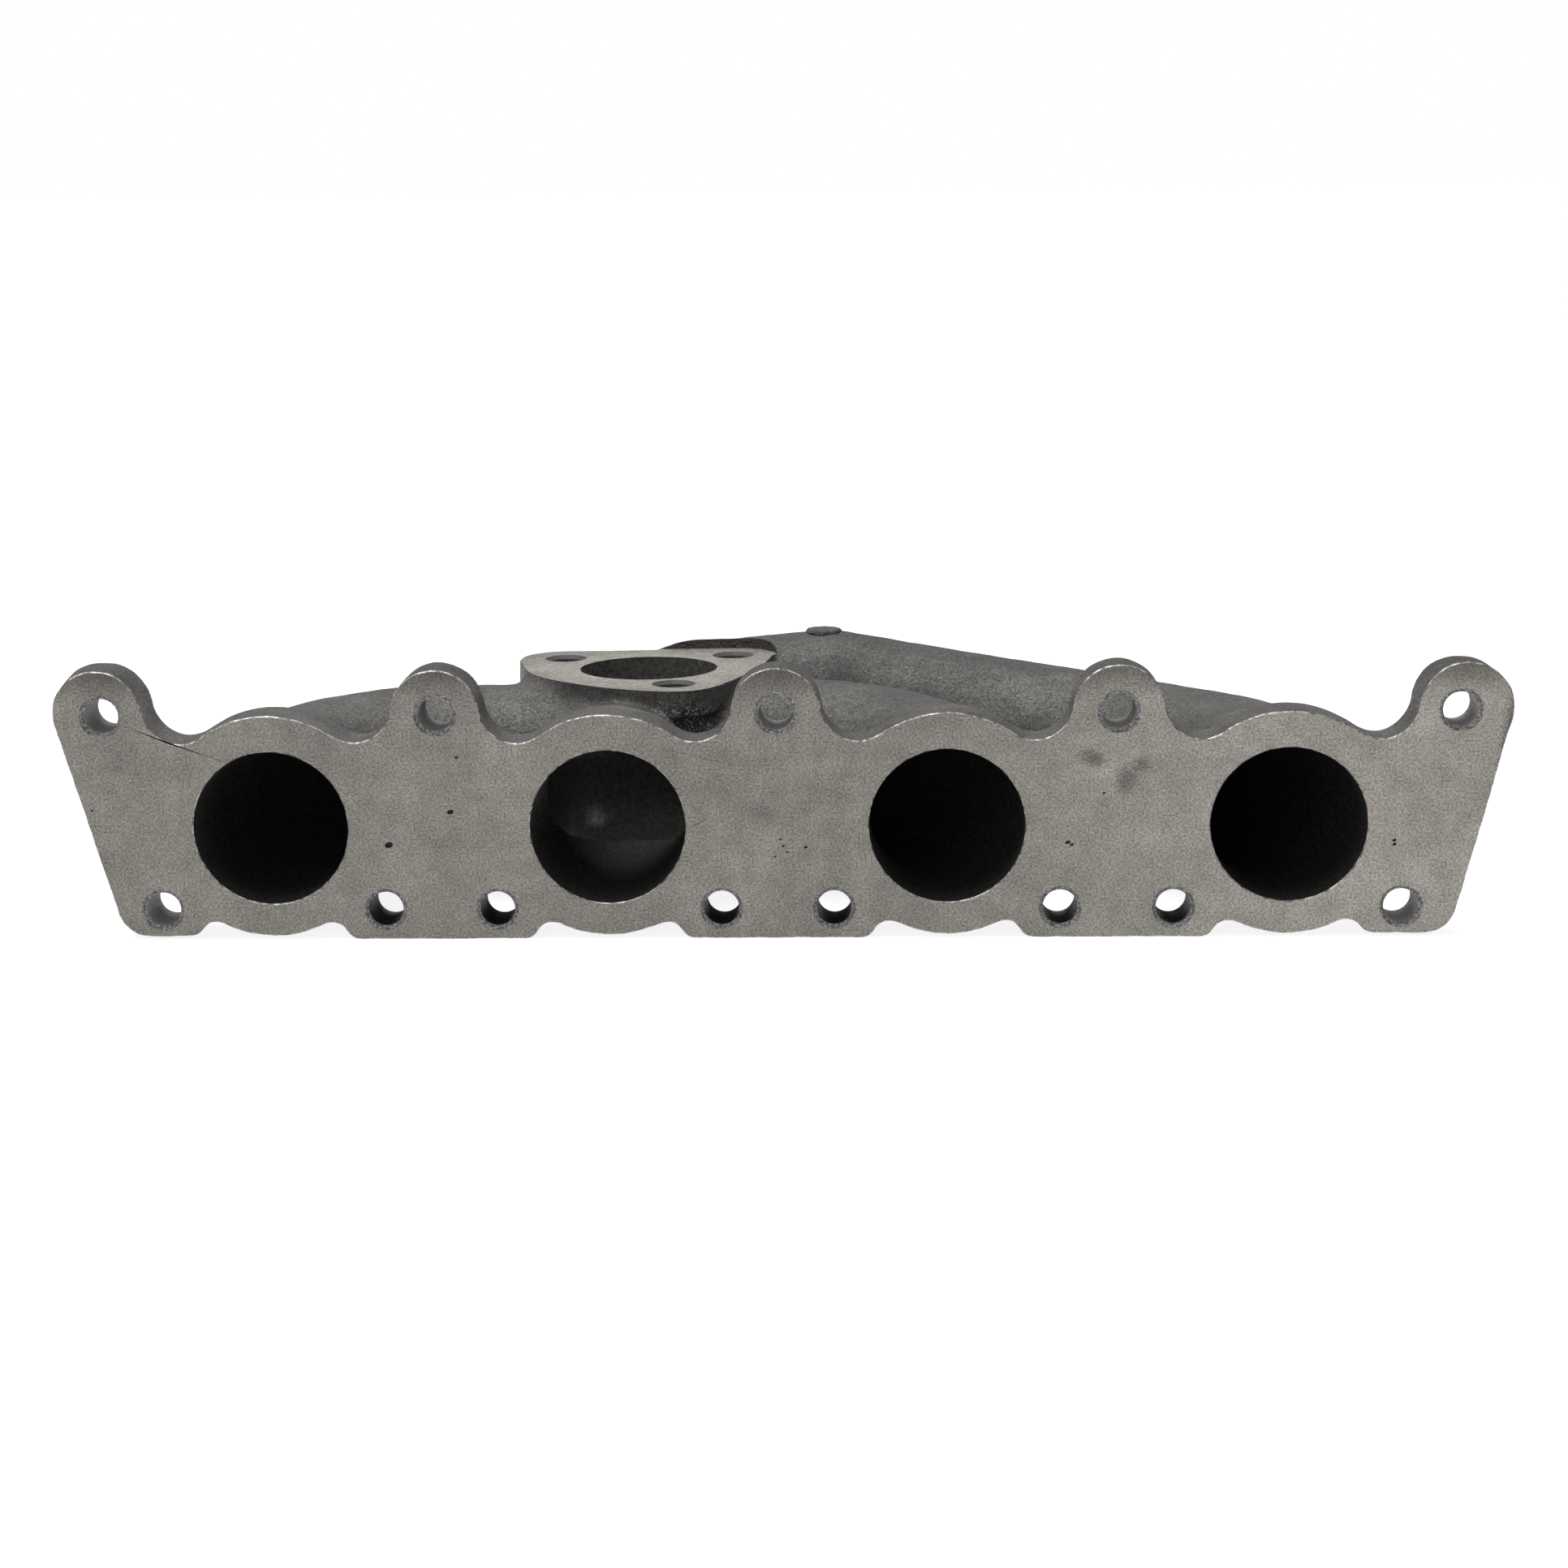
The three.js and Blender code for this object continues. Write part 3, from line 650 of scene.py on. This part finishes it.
def machine(casting, milled, drilled, dark):
    """Cuts the casting's three flat faces, drills its holes and sinks its few pores."""
    room = 20.0
    lowest, highest = ORIGIN - room, ORIGIN + np.array(SHAPE) * STEP + room
    turbo_low, turbo_high = TURBO_LOW - room, TURBO_HIGH + room
    wastegate = wastegate_outline(1.0)
    cut(casting, [
        box_prism(lowest, (highest[0], 0, highest[2])),
        prism(wastegate, WASTEGATE_FACE_Z, highest[2]),
        box_prism((turbo_low[0], turbo_low[1], lowest[2]), (turbo_high[0], turbo_high[1], BOTTOM_Z)),
    ], milled)
    studs = [facing(drill(STUD_RADIUS, STUD_CHAMFER, STUD_DEPTH), (x, 0, z), FRONT)
             for x, _, z in UPPER_STUDS + LOWER_STUDS]
    taps = [facing(drill(TAP_RADIUS, TAP_CHAMFER, WASTEGATE_TAP_DEPTH), (x, y, WASTEGATE_FACE_Z), UP)
            for x, y, _ in WASTEGATE_BOLTS]
    turbo_taps = [facing(drill(TAP_RADIUS, TAP_CHAMFER, TURBO_TAP_DEPTH), (x, y, BOTTOM_Z), DOWN)
                  for x, y, _ in TURBO_BOLTS]
    cut(casting, studs + taps + turbo_taps, drilled)
    pits = [facing(pit(radius), (x, -PIT_SINK * radius, z), FRONT) for x, z, radius in PITS]
    cut(casting, pits, dark)


def slice_skin(mesh, axis, height, away, lowest, highest):
    """Splits the cast faces that cross a height on an axis, between two corners."""
    low_corner, high_corner = Vector(lowest) * MM, Vector(highest) * MM
    low_corner[axis] = (height - 2 * STEP) * MM
    high_corner[axis] = (height + 2 * STEP) * MM

    def close(face):
        places = zip(low_corner, face.calc_center_median(), high_corner)
        return face.material_index == SKIN and all(a < p < b for a, p, b in places)

    near = [f for f in mesh.faces if close(f)]
    edges = dict.fromkeys(e for f in near for e in f.edges)
    ends = dict.fromkeys(v for f in near for v in f.verts)
    plane = Vector([height * MM if i == axis else 0 for i in range(3)])
    normal = Vector([away if i == axis else 0 for i in range(3)])
    bmesh.ops.bisect_plane(mesh, geom=[*near, *edges, *ends], dist=1e-8, plane_co=plane, plane_no=normal)


def even_out(mesh, axis, level):
    """Turns edges inside a machined face, so that fewer of its triangles are long and thin."""
    milled = [f for f in mesh.faces if f.material_index == MILLED
              and abs(f.calc_center_median()[axis] / MM - level) < ON_LEVEL]
    members = set(milled)
    inner = [e for e in mesh.edges if len(e.link_faces) == 2 and members.issuperset(e.link_faces)]
    bmesh.ops.beautify_fill(mesh, faces=milled, edges=inner, method="ANGLE")


def break_rims(casting, field, axis, level, away, lowest, highest, look):
    """Chamfers the rims of the machined face between two corners, at a level along an axis: away is the
    direction from the face into the casting, and look is the chamfer's material."""
    mesh = bmesh.new()
    mesh.from_mesh(casting.data)
    height = level + RIM * away
    slice_skin(mesh, axis, height, away, lowest, highest)
    even_out(mesh, axis, level)
    rim = [v for v in mesh.verts
           if abs(v.co[axis] / MM - level) < ON_LEVEL
           and {SKIN, MILLED} <= {f.material_index for f in v.link_faces}]
    for face in {f for v in rim for f in v.link_faces if f.material_index == SKIN}:
        if all((v.co[axis] / MM - height) * away < ON_LEVEL for v in face.verts):
            face.material_index = look
    points = np.array([v.co for v in rim]) / MM
    way = slope(field, points)
    way[:, axis] = 0
    way /= np.maximum(np.linalg.norm(way, axis=1, keepdims=True), 1e-6)
    start = {vertex: vertex.co.copy() for vertex in rim}
    for vertex, shift in zip(rim, way):
        vertex.co -= Vector(shift * RIM * MM)
    flat = {f for v in rim for f in v.link_faces if f.material_index == MILLED}
    rounds = 4
    for _ in range(rounds):
        mesh.normal_update()
        turned_over = [f for f in flat if f.normal[axis] * away > -0.5]
        for vertex in {v for f in turned_over for v in f.verts} & start.keys():
            vertex.co = start[vertex]
    mesh.to_mesh(casting.data)
    mesh.free()


# ---- Materials ------------------------------------------------------------------------------------


class Nodes:
    """A material's nodes, in millimetres of the part's own frame."""

    def __init__(self, name):
        self.material = bpy.data.materials.new(name)
        self.material.use_nodes = True
        self.tree = self.material.node_tree
        self.shader = self.tree.nodes["Principled BSDF"]
        place = self.add("ShaderNodeTexCoord").outputs["Object"]
        scale = self.add("ShaderNodeVectorMath", operation="SCALE")
        scale.inputs["Scale"].default_value = 1 / MM
        self.link(place, scale.inputs[0])
        self.place = scale.outputs[0]

    def add(self, kind, **settings):
        node = self.tree.nodes.new(kind)
        for key, value in settings.items():
            setattr(node, key, value)
        return node

    def link(self, a, b):
        self.tree.links.new(a, b)

    def noise(self, size, detail=3.0, roughness=0.55, stretch=(1, 1, 1), turn=0.0):
        """Noise whose lumps are size mm across, from 0 to 1."""
        mapping = self.add("ShaderNodeMapping")
        mapping.inputs["Scale"].default_value = [s / size for s in stretch]
        mapping.inputs["Rotation"].default_value = (0, turn, 0)
        self.link(self.place, mapping.inputs["Vector"])
        node = self.add("ShaderNodeTexNoise")
        node.inputs["Scale"].default_value = 1
        node.inputs["Detail"].default_value = detail
        node.inputs["Roughness"].default_value = roughness
        self.link(mapping.outputs[0], node.inputs["Vector"])
        return node.outputs["Fac"]

    def ramp(self, value, stops):
        node = self.add("ShaderNodeValToRGB")
        band = node.color_ramp
        while len(band.elements) < len(stops):
            band.elements.new(0.5)
        for element, (place, shade) in zip(band.elements, stops):
            element.position = place
            element.color = (*shade, 1) if isinstance(shade, tuple) else (shade, shade, shade, 1)
        self.link(value, node.inputs["Fac"])
        return node.outputs["Color"]

    def span(self, value, low_in, high_in, low_out, high_out):
        node = self.add("ShaderNodeMapRange", interpolation_type="SMOOTHSTEP")
        for socket, number in zip(node.inputs[1:5], (low_in, high_in, low_out, high_out)):
            socket.default_value = number
        self.link(value, node.inputs["Value"])
        return node.outputs["Result"]

    def multiply(self, a, b):
        node = self.add("ShaderNodeMix", data_type="RGBA", blend_type="MULTIPLY")
        node.inputs["Factor"].default_value = 1
        self.link(a, node.inputs["A"])
        self.link(b, node.inputs["B"])
        return node.outputs["Result"]

    def mix(self, factor, a, b):
        """Colour a where the factor is 0, and b where it is 1."""
        node = self.add("ShaderNodeMix", data_type="RGBA")
        self.link(factor, node.inputs["Factor"])
        self.link(a, node.inputs["A"])
        self.link(b, node.inputs["B"])
        return node.outputs["Result"]

    def spot(self, centre, radii, turn, edge_noise):
        """0 in the middle of an ellipsoid turned about Y, and 1 outside it, with a ragged edge."""
        mapping = self.add("ShaderNodeMapping", vector_type="TEXTURE")
        mapping.inputs["Location"].default_value = centre
        mapping.inputs["Rotation"].default_value = (0, turn, 0)
        mapping.inputs["Scale"].default_value = radii
        self.link(self.place, mapping.inputs["Vector"])
        length = self.add("ShaderNodeVectorMath", operation="LENGTH")
        self.link(mapping.outputs[0], length.inputs[0])
        ragged = self.add("ShaderNodeMath", operation="ADD")
        self.link(edge_noise, ragged.inputs[0])
        self.link(length.outputs["Value"], ragged.inputs[1])
        return self.span(ragged.outputs[0], 0.6, 1.5, 0, 1)

    def along(self, axis, low, high):
        """0 below one place on an axis and 1 above another."""
        node = self.add("ShaderNodeSeparateXYZ")
        self.link(self.place, node.inputs[0])
        return self.span(node.outputs[axis], low, high, 0, 1)

    def bump(self, layers):
        """Bumps from (value, height in mm) pairs, one after another."""
        last = None
        for value, height in layers:
            node = self.add("ShaderNodeBump")
            node.inputs["Strength"].default_value = 1
            node.inputs["Distance"].default_value = height * MM
            self.link(value, node.inputs["Height"])
            if last:
                self.link(last, node.inputs["Normal"])
            last = node.outputs["Normal"]
        self.link(last, self.shader.inputs["Normal"])


def cast_skin():
    """Grey sand-cast iron: fine grain, mottled, stains, painted shade and light, a dark burnt hollow with
    painted glints.
    """
    n = Nodes("sand_cast_iron")
    base = n.ramp(n.noise(1.1, 5, 0.65), [(0.34, (0.053, 0.051, 0.047)), (0.66, (0.108, 0.105, 0.098))])
    cloud = n.ramp(n.noise(22, 4, 0.6), [(0.32, 0.74), (0.7, 1.18)])
    streak = n.ramp(n.noise(5, 4, 0.6, (0.35, 1, 1), 0.3), [(0.34, 0.84), (0.66, 1.12)])
    grain = n.ramp(n.noise(0.45, 2, 0.6), [(0.34, 0.6), (0.5, 1.0), (0.68, 1.5)])
    colour = n.multiply(n.multiply(n.multiply(base, cloud), streak), grain)
    ragged = n.noise(2.4, 4, 0.65)
    for centre, radii, turn, shade in (
        # Painted shade along the groove under the wastegate flange's front-left edge.
        ((-44, 42, 24.5), (17, 8, 2.2), 0.24, 0.45),
        # Painted highlight on runner 1, left of the wastegate flange.
        ((-70, 34, 22), (5, 12, 5), 0.0, 1.5),
        ((30, 109, 24), (22, 9, 3), 0.15, 0.85),
        ((14, 109, 20), (8, 30, 6), 0.0, 1.2),
    ):
        stain_or_painted_light = n.spot(centre, radii, turn, ragged)
        colour = n.multiply(colour, n.ramp(stain_or_painted_light, [(0, shade), (1, 1)]))
    # Burnt scale in the hollow under the wastegate flange's front corner, darkened further as painted
    # shade, with bright specks painted in as glints.
    burnt_with_painted_shade_and_glints = n.ramp(n.noise(0.75, 4, 0.75), [(0.42, 0.016), (0.53, 0.075), (0.61, 0.62)])
    colour = n.mix(n.spot((-24, 38, 21), (14, 12, 9), 0.35, ragged), burnt_with_painted_shade_and_glints, colour)
    colour = n.multiply(colour, n.ramp(n.along("Y", 74, 96), [(0, 1.0), (1, 0.84)]))
    # Painted shade: the highest cast tops are darkened.
    colour = n.multiply(colour, n.ramp(n.along("Z", 34, 42), [(0, 1.0), (1, 0.7)]))
    n.link(colour, n.shader.inputs["Base Color"])
    n.shader.inputs["Metallic"].default_value = 0.25
    n.shader.inputs["Specular IOR Level"].default_value = 0.35
    n.link(n.span(n.noise(0.7, 3), 0.34, 0.66, 0.36, 0.72), n.shader.inputs["Roughness"])
    n.bump([(n.noise(2.0, 4, 0.6), 0.2), (n.noise(0.55, 3, 0.65), 0.2)])
    return n.material


def milled_face():
    """A ground face: fine speckle, stains, painted shade on its high ear tops, a few smudges and
    scratches, and painted light on the wastegate face.
    """
    n = Nodes("milled_iron")
    base = n.ramp(n.noise(0.55, 4, 0.7), [(0.36, (0.112, 0.104, 0.091)), (0.64, (0.325, 0.306, 0.278))])
    cloud = n.ramp(n.noise(26, 5, 0.62), [(0.3, 0.80), (0.7, 1.12)])
    mottle = n.ramp(n.noise(6, 4, 0.6), [(0.34, 0.88), (0.66, 1.10)])
    fleck = n.ramp(n.noise(0.9, 3, 0.7), [(0.28, 0.45), (0.37, 1.0)])
    lighter_end = n.ramp(n.along("X", 20, 150), [(0, 1.02), (1, 1.42)])
    colour = n.multiply(n.multiply(n.multiply(n.multiply(base, cloud), mottle), fleck), lighter_end)
    ragged = n.noise(2.2, 4, 0.7)
    for centre, radii, turn, shade in (
        ((81.5, 0, 17.5), (5, 12, 3.2), 0.3, 0.45),
        ((90, 0, 12), (4.4, 12, 6.0), 0.2, 0.50),
        ((94, 0, 16), (3.6, 12, 3.2), 0.0, 0.55),
        ((84, 0, 6), (2.2, 9, 2.0), 0.0, 0.80),
        ((-3, 0, 4), (5, 9, 3), 0.5, 0.80),
        ((-12, 0, 18), (6, 9, 4), 0.2, 0.85),
        ((-20.5, 0, 0.8), (4.2, 9, 0.28), -0.46, 0.42),
        ((-18, 0, 18), (13, 9, 0.22), 0.24, 0.6),
        ((-15, 0, 14), (9, 9, 0.18), 0.1, 0.7),
        ((2, 0, -9), (7, 9, 0.25), -0.5, 0.7),
        ((188, 0, 20), (4, 12, 26), 0.1, 0.2),
        # Painted light: brightens the up-facing wastegate face.
        ((-38, 73, 30), (62, 48, 4), 0.0, 1.5),
    ):
        stain_or_painted_light = n.spot(centre, radii, turn, ragged)
        colour = n.multiply(colour, n.ramp(stain_or_painted_light, [(0, shade), (1, 1)]))
    # Painted shade: the tops of the high ears are darkened.
    colour = n.multiply(colour, n.ramp(n.along("Z", 32, 42), [(0, 1.0), (1, 0.5)]))
    n.link(colour, n.shader.inputs["Base Color"])
    n.shader.inputs["Metallic"].default_value = 0.55
    n.link(n.span(n.noise(1.2, 3), 0.3, 0.7, 0.4, 0.6), n.shader.inputs["Roughness"])
    n.bump([(n.noise(0.6, 3, 0.6), 0.06)])
    return n.material


def drilled_wall():
    """Hole walls: near black in the middle holes of the lower row as painted shade, and darker further
    back, as in the blind taps.
    """
    n = Nodes("drilled_iron")
    colour = n.ramp(n.noise(0.8, 3, 0.6), [(0.3, (0.16, 0.155, 0.145)), (0.7, (0.32, 0.31, 0.295))])
    # Painted shade: the walls of the middle lower holes, shaded by the pipes above them, are made near
    # black.
    low_row_painted_shade = n.spot((0, 0, -22), (200, 60, 16), 0.0, n.noise(40, 1))
    colour = n.multiply(colour, n.ramp(low_row_painted_shade, [(0, 0.02), (0.62, 0.03), (0.74, 1)]))
    colour = n.multiply(colour, n.ramp(n.along("Y", 22, 32), [(0, 1), (1, 0.32)]))
    burrs = n.ramp(n.noise(0.7, 4, 0.75), [(0.42, 0.07), (0.52, 0.17), (0.62, 0.36)])
    colour = n.mix(n.along("Y", 0.9, 1.3), burrs, colour)
    n.link(colour, n.shader.inputs["Base Color"])
    n.shader.inputs["Specular IOR Level"].default_value = 0.2
    n.link(n.span(n.noise(0.6, 2), 0.3, 0.7, 0.45, 0.65), n.shader.inputs["Roughness"])
    n.bump([(n.noise(0.7, 3), 0.06)])
    return n.material


def bright_rim():
    """Fresh iron along the broken rims of the machined faces, worn in places."""
    n = Nodes("bright_rim_iron")
    colour = n.ramp(n.noise(2.2, 4, 0.7), [(0.42, (0.11, 0.105, 0.10)), (0.60, (0.50, 0.49, 0.46))])
    n.link(colour, n.shader.inputs["Base Color"])
    n.shader.inputs["Metallic"].default_value = 0.6
    n.link(n.span(n.noise(0.6, 2), 0.3, 0.7, 0.35, 0.55), n.shader.inputs["Roughness"])
    n.bump([(n.noise(0.7, 3), 0.06)])
    return n.material


def dark_bore():
    """The inside of the passages: burnt sand skin painted near black as shade, and painted lighter up in
    the wastegate port.
    """
    n = Nodes("dark_bore_iron")
    # Burnt sand skin, made near black as painted shade deep in the passages.
    colour = n.ramp(n.noise(1.4, 4, 0.7), [(0.34, (0.010, 0.0098, 0.0094)), (0.70, (0.034, 0.033, 0.031))])
    # Painted light: lighter higher up, towards the wastegate opening.
    colour = n.multiply(colour, n.ramp(n.along("Z", 8, 22), [(0, 1.0), (1, 3.2)]))
    # Painted light: a pool of light on the chamber's back wall, seen through port 2.
    painted_light_pool = n.spot((-57, 110, -22), (6, 5, 4.5), 0.0, n.noise(3.0, 3))
    colour = n.multiply(colour, n.ramp(painted_light_pool, [(0, 5.0), (1, 1.0)]))
    n.link(colour, n.shader.inputs["Base Color"])
    n.shader.inputs["Specular IOR Level"].default_value = 0.16
    n.link(n.span(n.noise(1.0, 3), 0.3, 0.7, 0.5, 0.85), n.shader.inputs["Roughness"])
    n.bump([(n.noise(2.4, 3), 0.3), (n.noise(0.8, 3), 0.15)])
    return n.material


MATERIALS = [cast_skin(), milled_face(), drilled_wall(), dark_bore(), bright_rim()]

# ---- The casting ----------------------------------------------------------------------------------

passages = passage_field()
outside = outer_field()
iron = np.maximum(outside, -passages)
casting = mesh_object("casting", *surface(iron), MATERIALS)
machine(casting, MATERIALS[MILLED], MATERIALS[DRILLED], MATERIALS[BORE])
break_rims(casting, iron, 1, 0.0, 1, BOX_LOW - MARGIN, BOX_HIGH + MARGIN, BRIGHT)
break_rims(casting, iron, 2, WASTEGATE_FACE_Z, -1, WASTEGATE_LOW - MARGIN, WASTEGATE_HIGH + MARGIN, SKIN)
break_rims(casting, iron, 2, BOTTOM_Z, 1, TURBO_LOW - MARGIN, TURBO_HIGH + MARGIN, BRIGHT)


def face_values(mesh, name, kind, size=1):
    """One value, or one row of values, for each face of a mesh."""
    values = np.zeros(len(mesh.polygons) * size, kind)
    mesh.polygons.foreach_get(name, values)
    return values.reshape(-1, size) if size > 1 else values


def shade(item, field):
    """Tells bores from outer skin, and gives cast faces smooth normals and machined ones straight."""
    mesh = item.data
    index = face_values(mesh, "material_index", np.int32)
    centres = face_values(mesh, "center", np.float32, 3) / MM
    index[(index == SKIN) & (np.abs(sample(passages, centres)) < BORE_SKIN)] = BORE
    mesh.polygons.foreach_set("material_index", index)
    sides = face_values(mesh, "loop_total", np.int32)
    normals = np.repeat(face_values(mesh, "normal", np.float32, 3), sides, 0)
    loops = np.zeros(len(mesh.loops), np.int32)
    mesh.loops.foreach_get("vertex_index", loops)
    places = np.zeros(len(mesh.vertices) * 3, np.float32)
    mesh.vertices.foreach_get("co", places)
    smooth = slope(field, places.reshape(-1, 3) / MM)[loops]
    cast = np.repeat((index == SKIN) | (index == BORE), sides)
    least_agreement = 0.6
    use = cast & ((smooth * normals).sum(1) > least_agreement)
    normals[use] = smooth[use]
    straight = np.zeros((len(index), 3), np.float32)
    at_head = centres[:, 1] < RIM
    straight[at_head, 1] = -1
    straight[~at_head, 2] = np.sign(centres[~at_head, 2])
    milled = np.repeat(index == MILLED, sides)
    normals[milled] = np.repeat(straight, sides, 0)[milled]
    mesh.polygons.foreach_set("use_smooth", np.ones(len(mesh.polygons), bool))
    mesh.normals_split_custom_set(normals)


def piece(node, keep=(), remove=()):
    """The part of the casting inside the keep shapes and outside the remove shapes, for a CAD node."""
    item = bpy.data.objects.new(node + "_casting", casting.data.copy())
    bpy.context.scene.collection.objects.link(item)
    for shapes, operation in [(s, "INTERSECT") for s in keep] + [(s, "DIFFERENCE") for s in remove]:
        cut(item, [shapes], MATERIALS[SKIN], operation)
    shade(item, iron)
    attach(item, "root")
    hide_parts(node)


def span(x=(-BEYOND, BEYOND), y=(-BEYOND, BEYOND), z=(-BEYOND, BEYOND)):
    """A box between places on each axis, which reaches past the casting where none are given."""
    return box_prism((x[0], y[0], z[0]), (x[1], y[1], z[1]))


left_x, front_y = COLLECTOR_LOW[:2]
right_x = COLLECTOR_HIGH[0]
turbo_room = span(*zip(TURBO_LOW[:2] - (1, 1), TURBO_HIGH[:2] + (1, 1)), (-BEYOND, TURBO_HIGH[2]))
wastegate_room = prism(wastegate_outline(SEAM), WASTEGATE_LOW[2] + 4, 60)
crossing = [(right_x - 9, 89), (right_x + 61, 66)]
beyond_crossing = [(BEYOND, 66), (BEYOND, BEYOND), (right_x - 9, BEYOND)]
between = prism(np.array(crossing + beyond_crossing, float), -BEYOND, BEYOND)

piece("head_flange", [span(y=(-BEYOND, COLLAR_END_Y))])
piece("runner_1", [span(x=(-BEYOND, left_x), y=(COLLAR_END_Y, BEYOND))], [turbo_room])
piece("runner_2", [span((left_x, right_x), (COLLAR_END_Y, front_y))], [wastegate_room])
piece("runner_3", [span((right_x, BEYOND), (COLLAR_END_Y, BEYOND))], [between, turbo_room])
piece("runner_4", [span((right_x, BEYOND), (COLLAR_END_Y, BEYOND)), between], [turbo_room])
piece("collector", [span((left_x, right_x), (front_y, BEYOND))], [turbo_room, wastegate_room])
piece("wastegate_flange", [wastegate_room])
piece("turbo_flange", [turbo_room])


def pad():
    """The little cast pad on runner 4: a rough disc whose foot flares onto the pipe."""
    step = 0.35
    origin = PAD_LOW - (3, 3, 3)
    counts = [math.ceil(size / step) for size in PAD_HIGH - PAD_LOW + (6, 6, 5)]
    points = np.stack(np.meshgrid(*[np.arange(n) for n in counts], indexing="ij"), -1) * step + origin
    runner = sample(iron, points.reshape(-1, 3)).reshape(counts)
    middle_x, middle_y = (PAD_LOW[:2] + PAD_HIGH[:2]) / 2
    x, y, z = points[..., 0] - middle_x, points[..., 1] - middle_y, points[..., 2]
    turn = np.arctan2(y, x)
    ragged = 0.16 * np.sin(3 * turn + 1) + 0.12 * np.sin(7 * turn) + 0.08 * np.sin(13 * turn + 2)
    radius, foot, foot_height, edge, seam = 4.7, 0.9, 0.5, 0.45, 0.02
    across = np.hypot(x, y) - radius - ragged - foot * np.exp(-np.maximum(runner, 0) / foot_height)
    dish = 0.1 * np.sin(1.3 * x + 1) * np.sin(1.7 * y)
    field = np.maximum(rounded(across, z - PAD_HIGH[2] - dish, edge), seam - runner)
    item = mesh_object("runner_pad_casting", *surface(field, origin, step), [MATERIALS[SKIN]])
    item.data.polygons.foreach_set("use_smooth", np.ones(len(item.data.polygons), bool))
    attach(item, "root")
    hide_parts("runner_pad")


pad()

bpy.data.objects.remove(casting)

# ---- Floor, light and camera ----------------------------------------------------------------------


def floor():
    """A pale floor that glows a little, so that it shows almost white."""
    material = bpy.data.materials.new("pale_floor")
    material.use_nodes = True
    shader = material.node_tree.nodes["Principled BSDF"]
    shader.inputs["Base Color"].default_value = (0.3, 0.3, 0.3, 1)
    shader.inputs["Roughness"].default_value = 0.9
    shader.inputs["Emission Color"].default_value = (1, 1, 1, 1)
    shader.inputs["Emission Strength"].default_value = 0.86
    side = 40000
    corners_xy = ((-side, -side), (side, -side), (side, side), (-side, side))
    item = mesh_object("floor", [(x, y, BOTTOM_Z) for x, y in corners_xy], [(0, 1, 2, 3)], [material])


def light(name, place, target, size, power):
    lamp = bpy.data.lights.new(name, "AREA")
    lamp.shape = "RECTANGLE"
    lamp.size, lamp.size_y = size
    lamp.energy = power
    item = bpy.data.objects.new(name, lamp)
    item.location = place
    item.rotation_euler = (Vector(target) - Vector(place)).to_track_quat("-Z", "Y").to_euler()
    bpy.context.scene.collection.objects.link(item)


floor()
light("overhead", (-0.25, 0.2, 1.2), (0, 0.05, 0), (1.4, 0.8), 20)
light("front", (-0.6, -1.5, 0.8), (0, 0, 0), (1.2, 0.9), 4)


def studio():
    """A white surround that lights the part less than it shows."""
    world = bpy.data.worlds.new("studio")
    world.use_nodes = True
    nodes = world.node_tree.nodes
    path = nodes.new("ShaderNodeLightPath")
    strength = nodes.new("ShaderNodeMapRange")
    strength.inputs["To Min"].default_value = 0.42
    strength.inputs["To Max"].default_value = 1.0
    world.node_tree.links.new(path.outputs["Is Camera Ray"], strength.inputs["Value"])
    world.node_tree.links.new(strength.outputs["Result"], nodes["Background"].inputs["Strength"])
    nodes["Background"].inputs["Color"].default_value = (1, 1, 1, 1)
    bpy.context.scene.world = world


studio()
bpy.context.scene.view_settings.view_transform = "Standard"

lens = bpy.data.cameras.new("camera")
lens.sensor_width = 36
lens.lens = 66.06
camera = bpy.data.objects.new("camera", lens)
camera.location = (0.0254, -0.7264, 0.1644)
camera.rotation_euler = Euler([math.radians(a) for a in (78.10, 0.636, 1.716)])
bpy.context.scene.collection.objects.link(camera)
bpy.context.scene.camera = camera
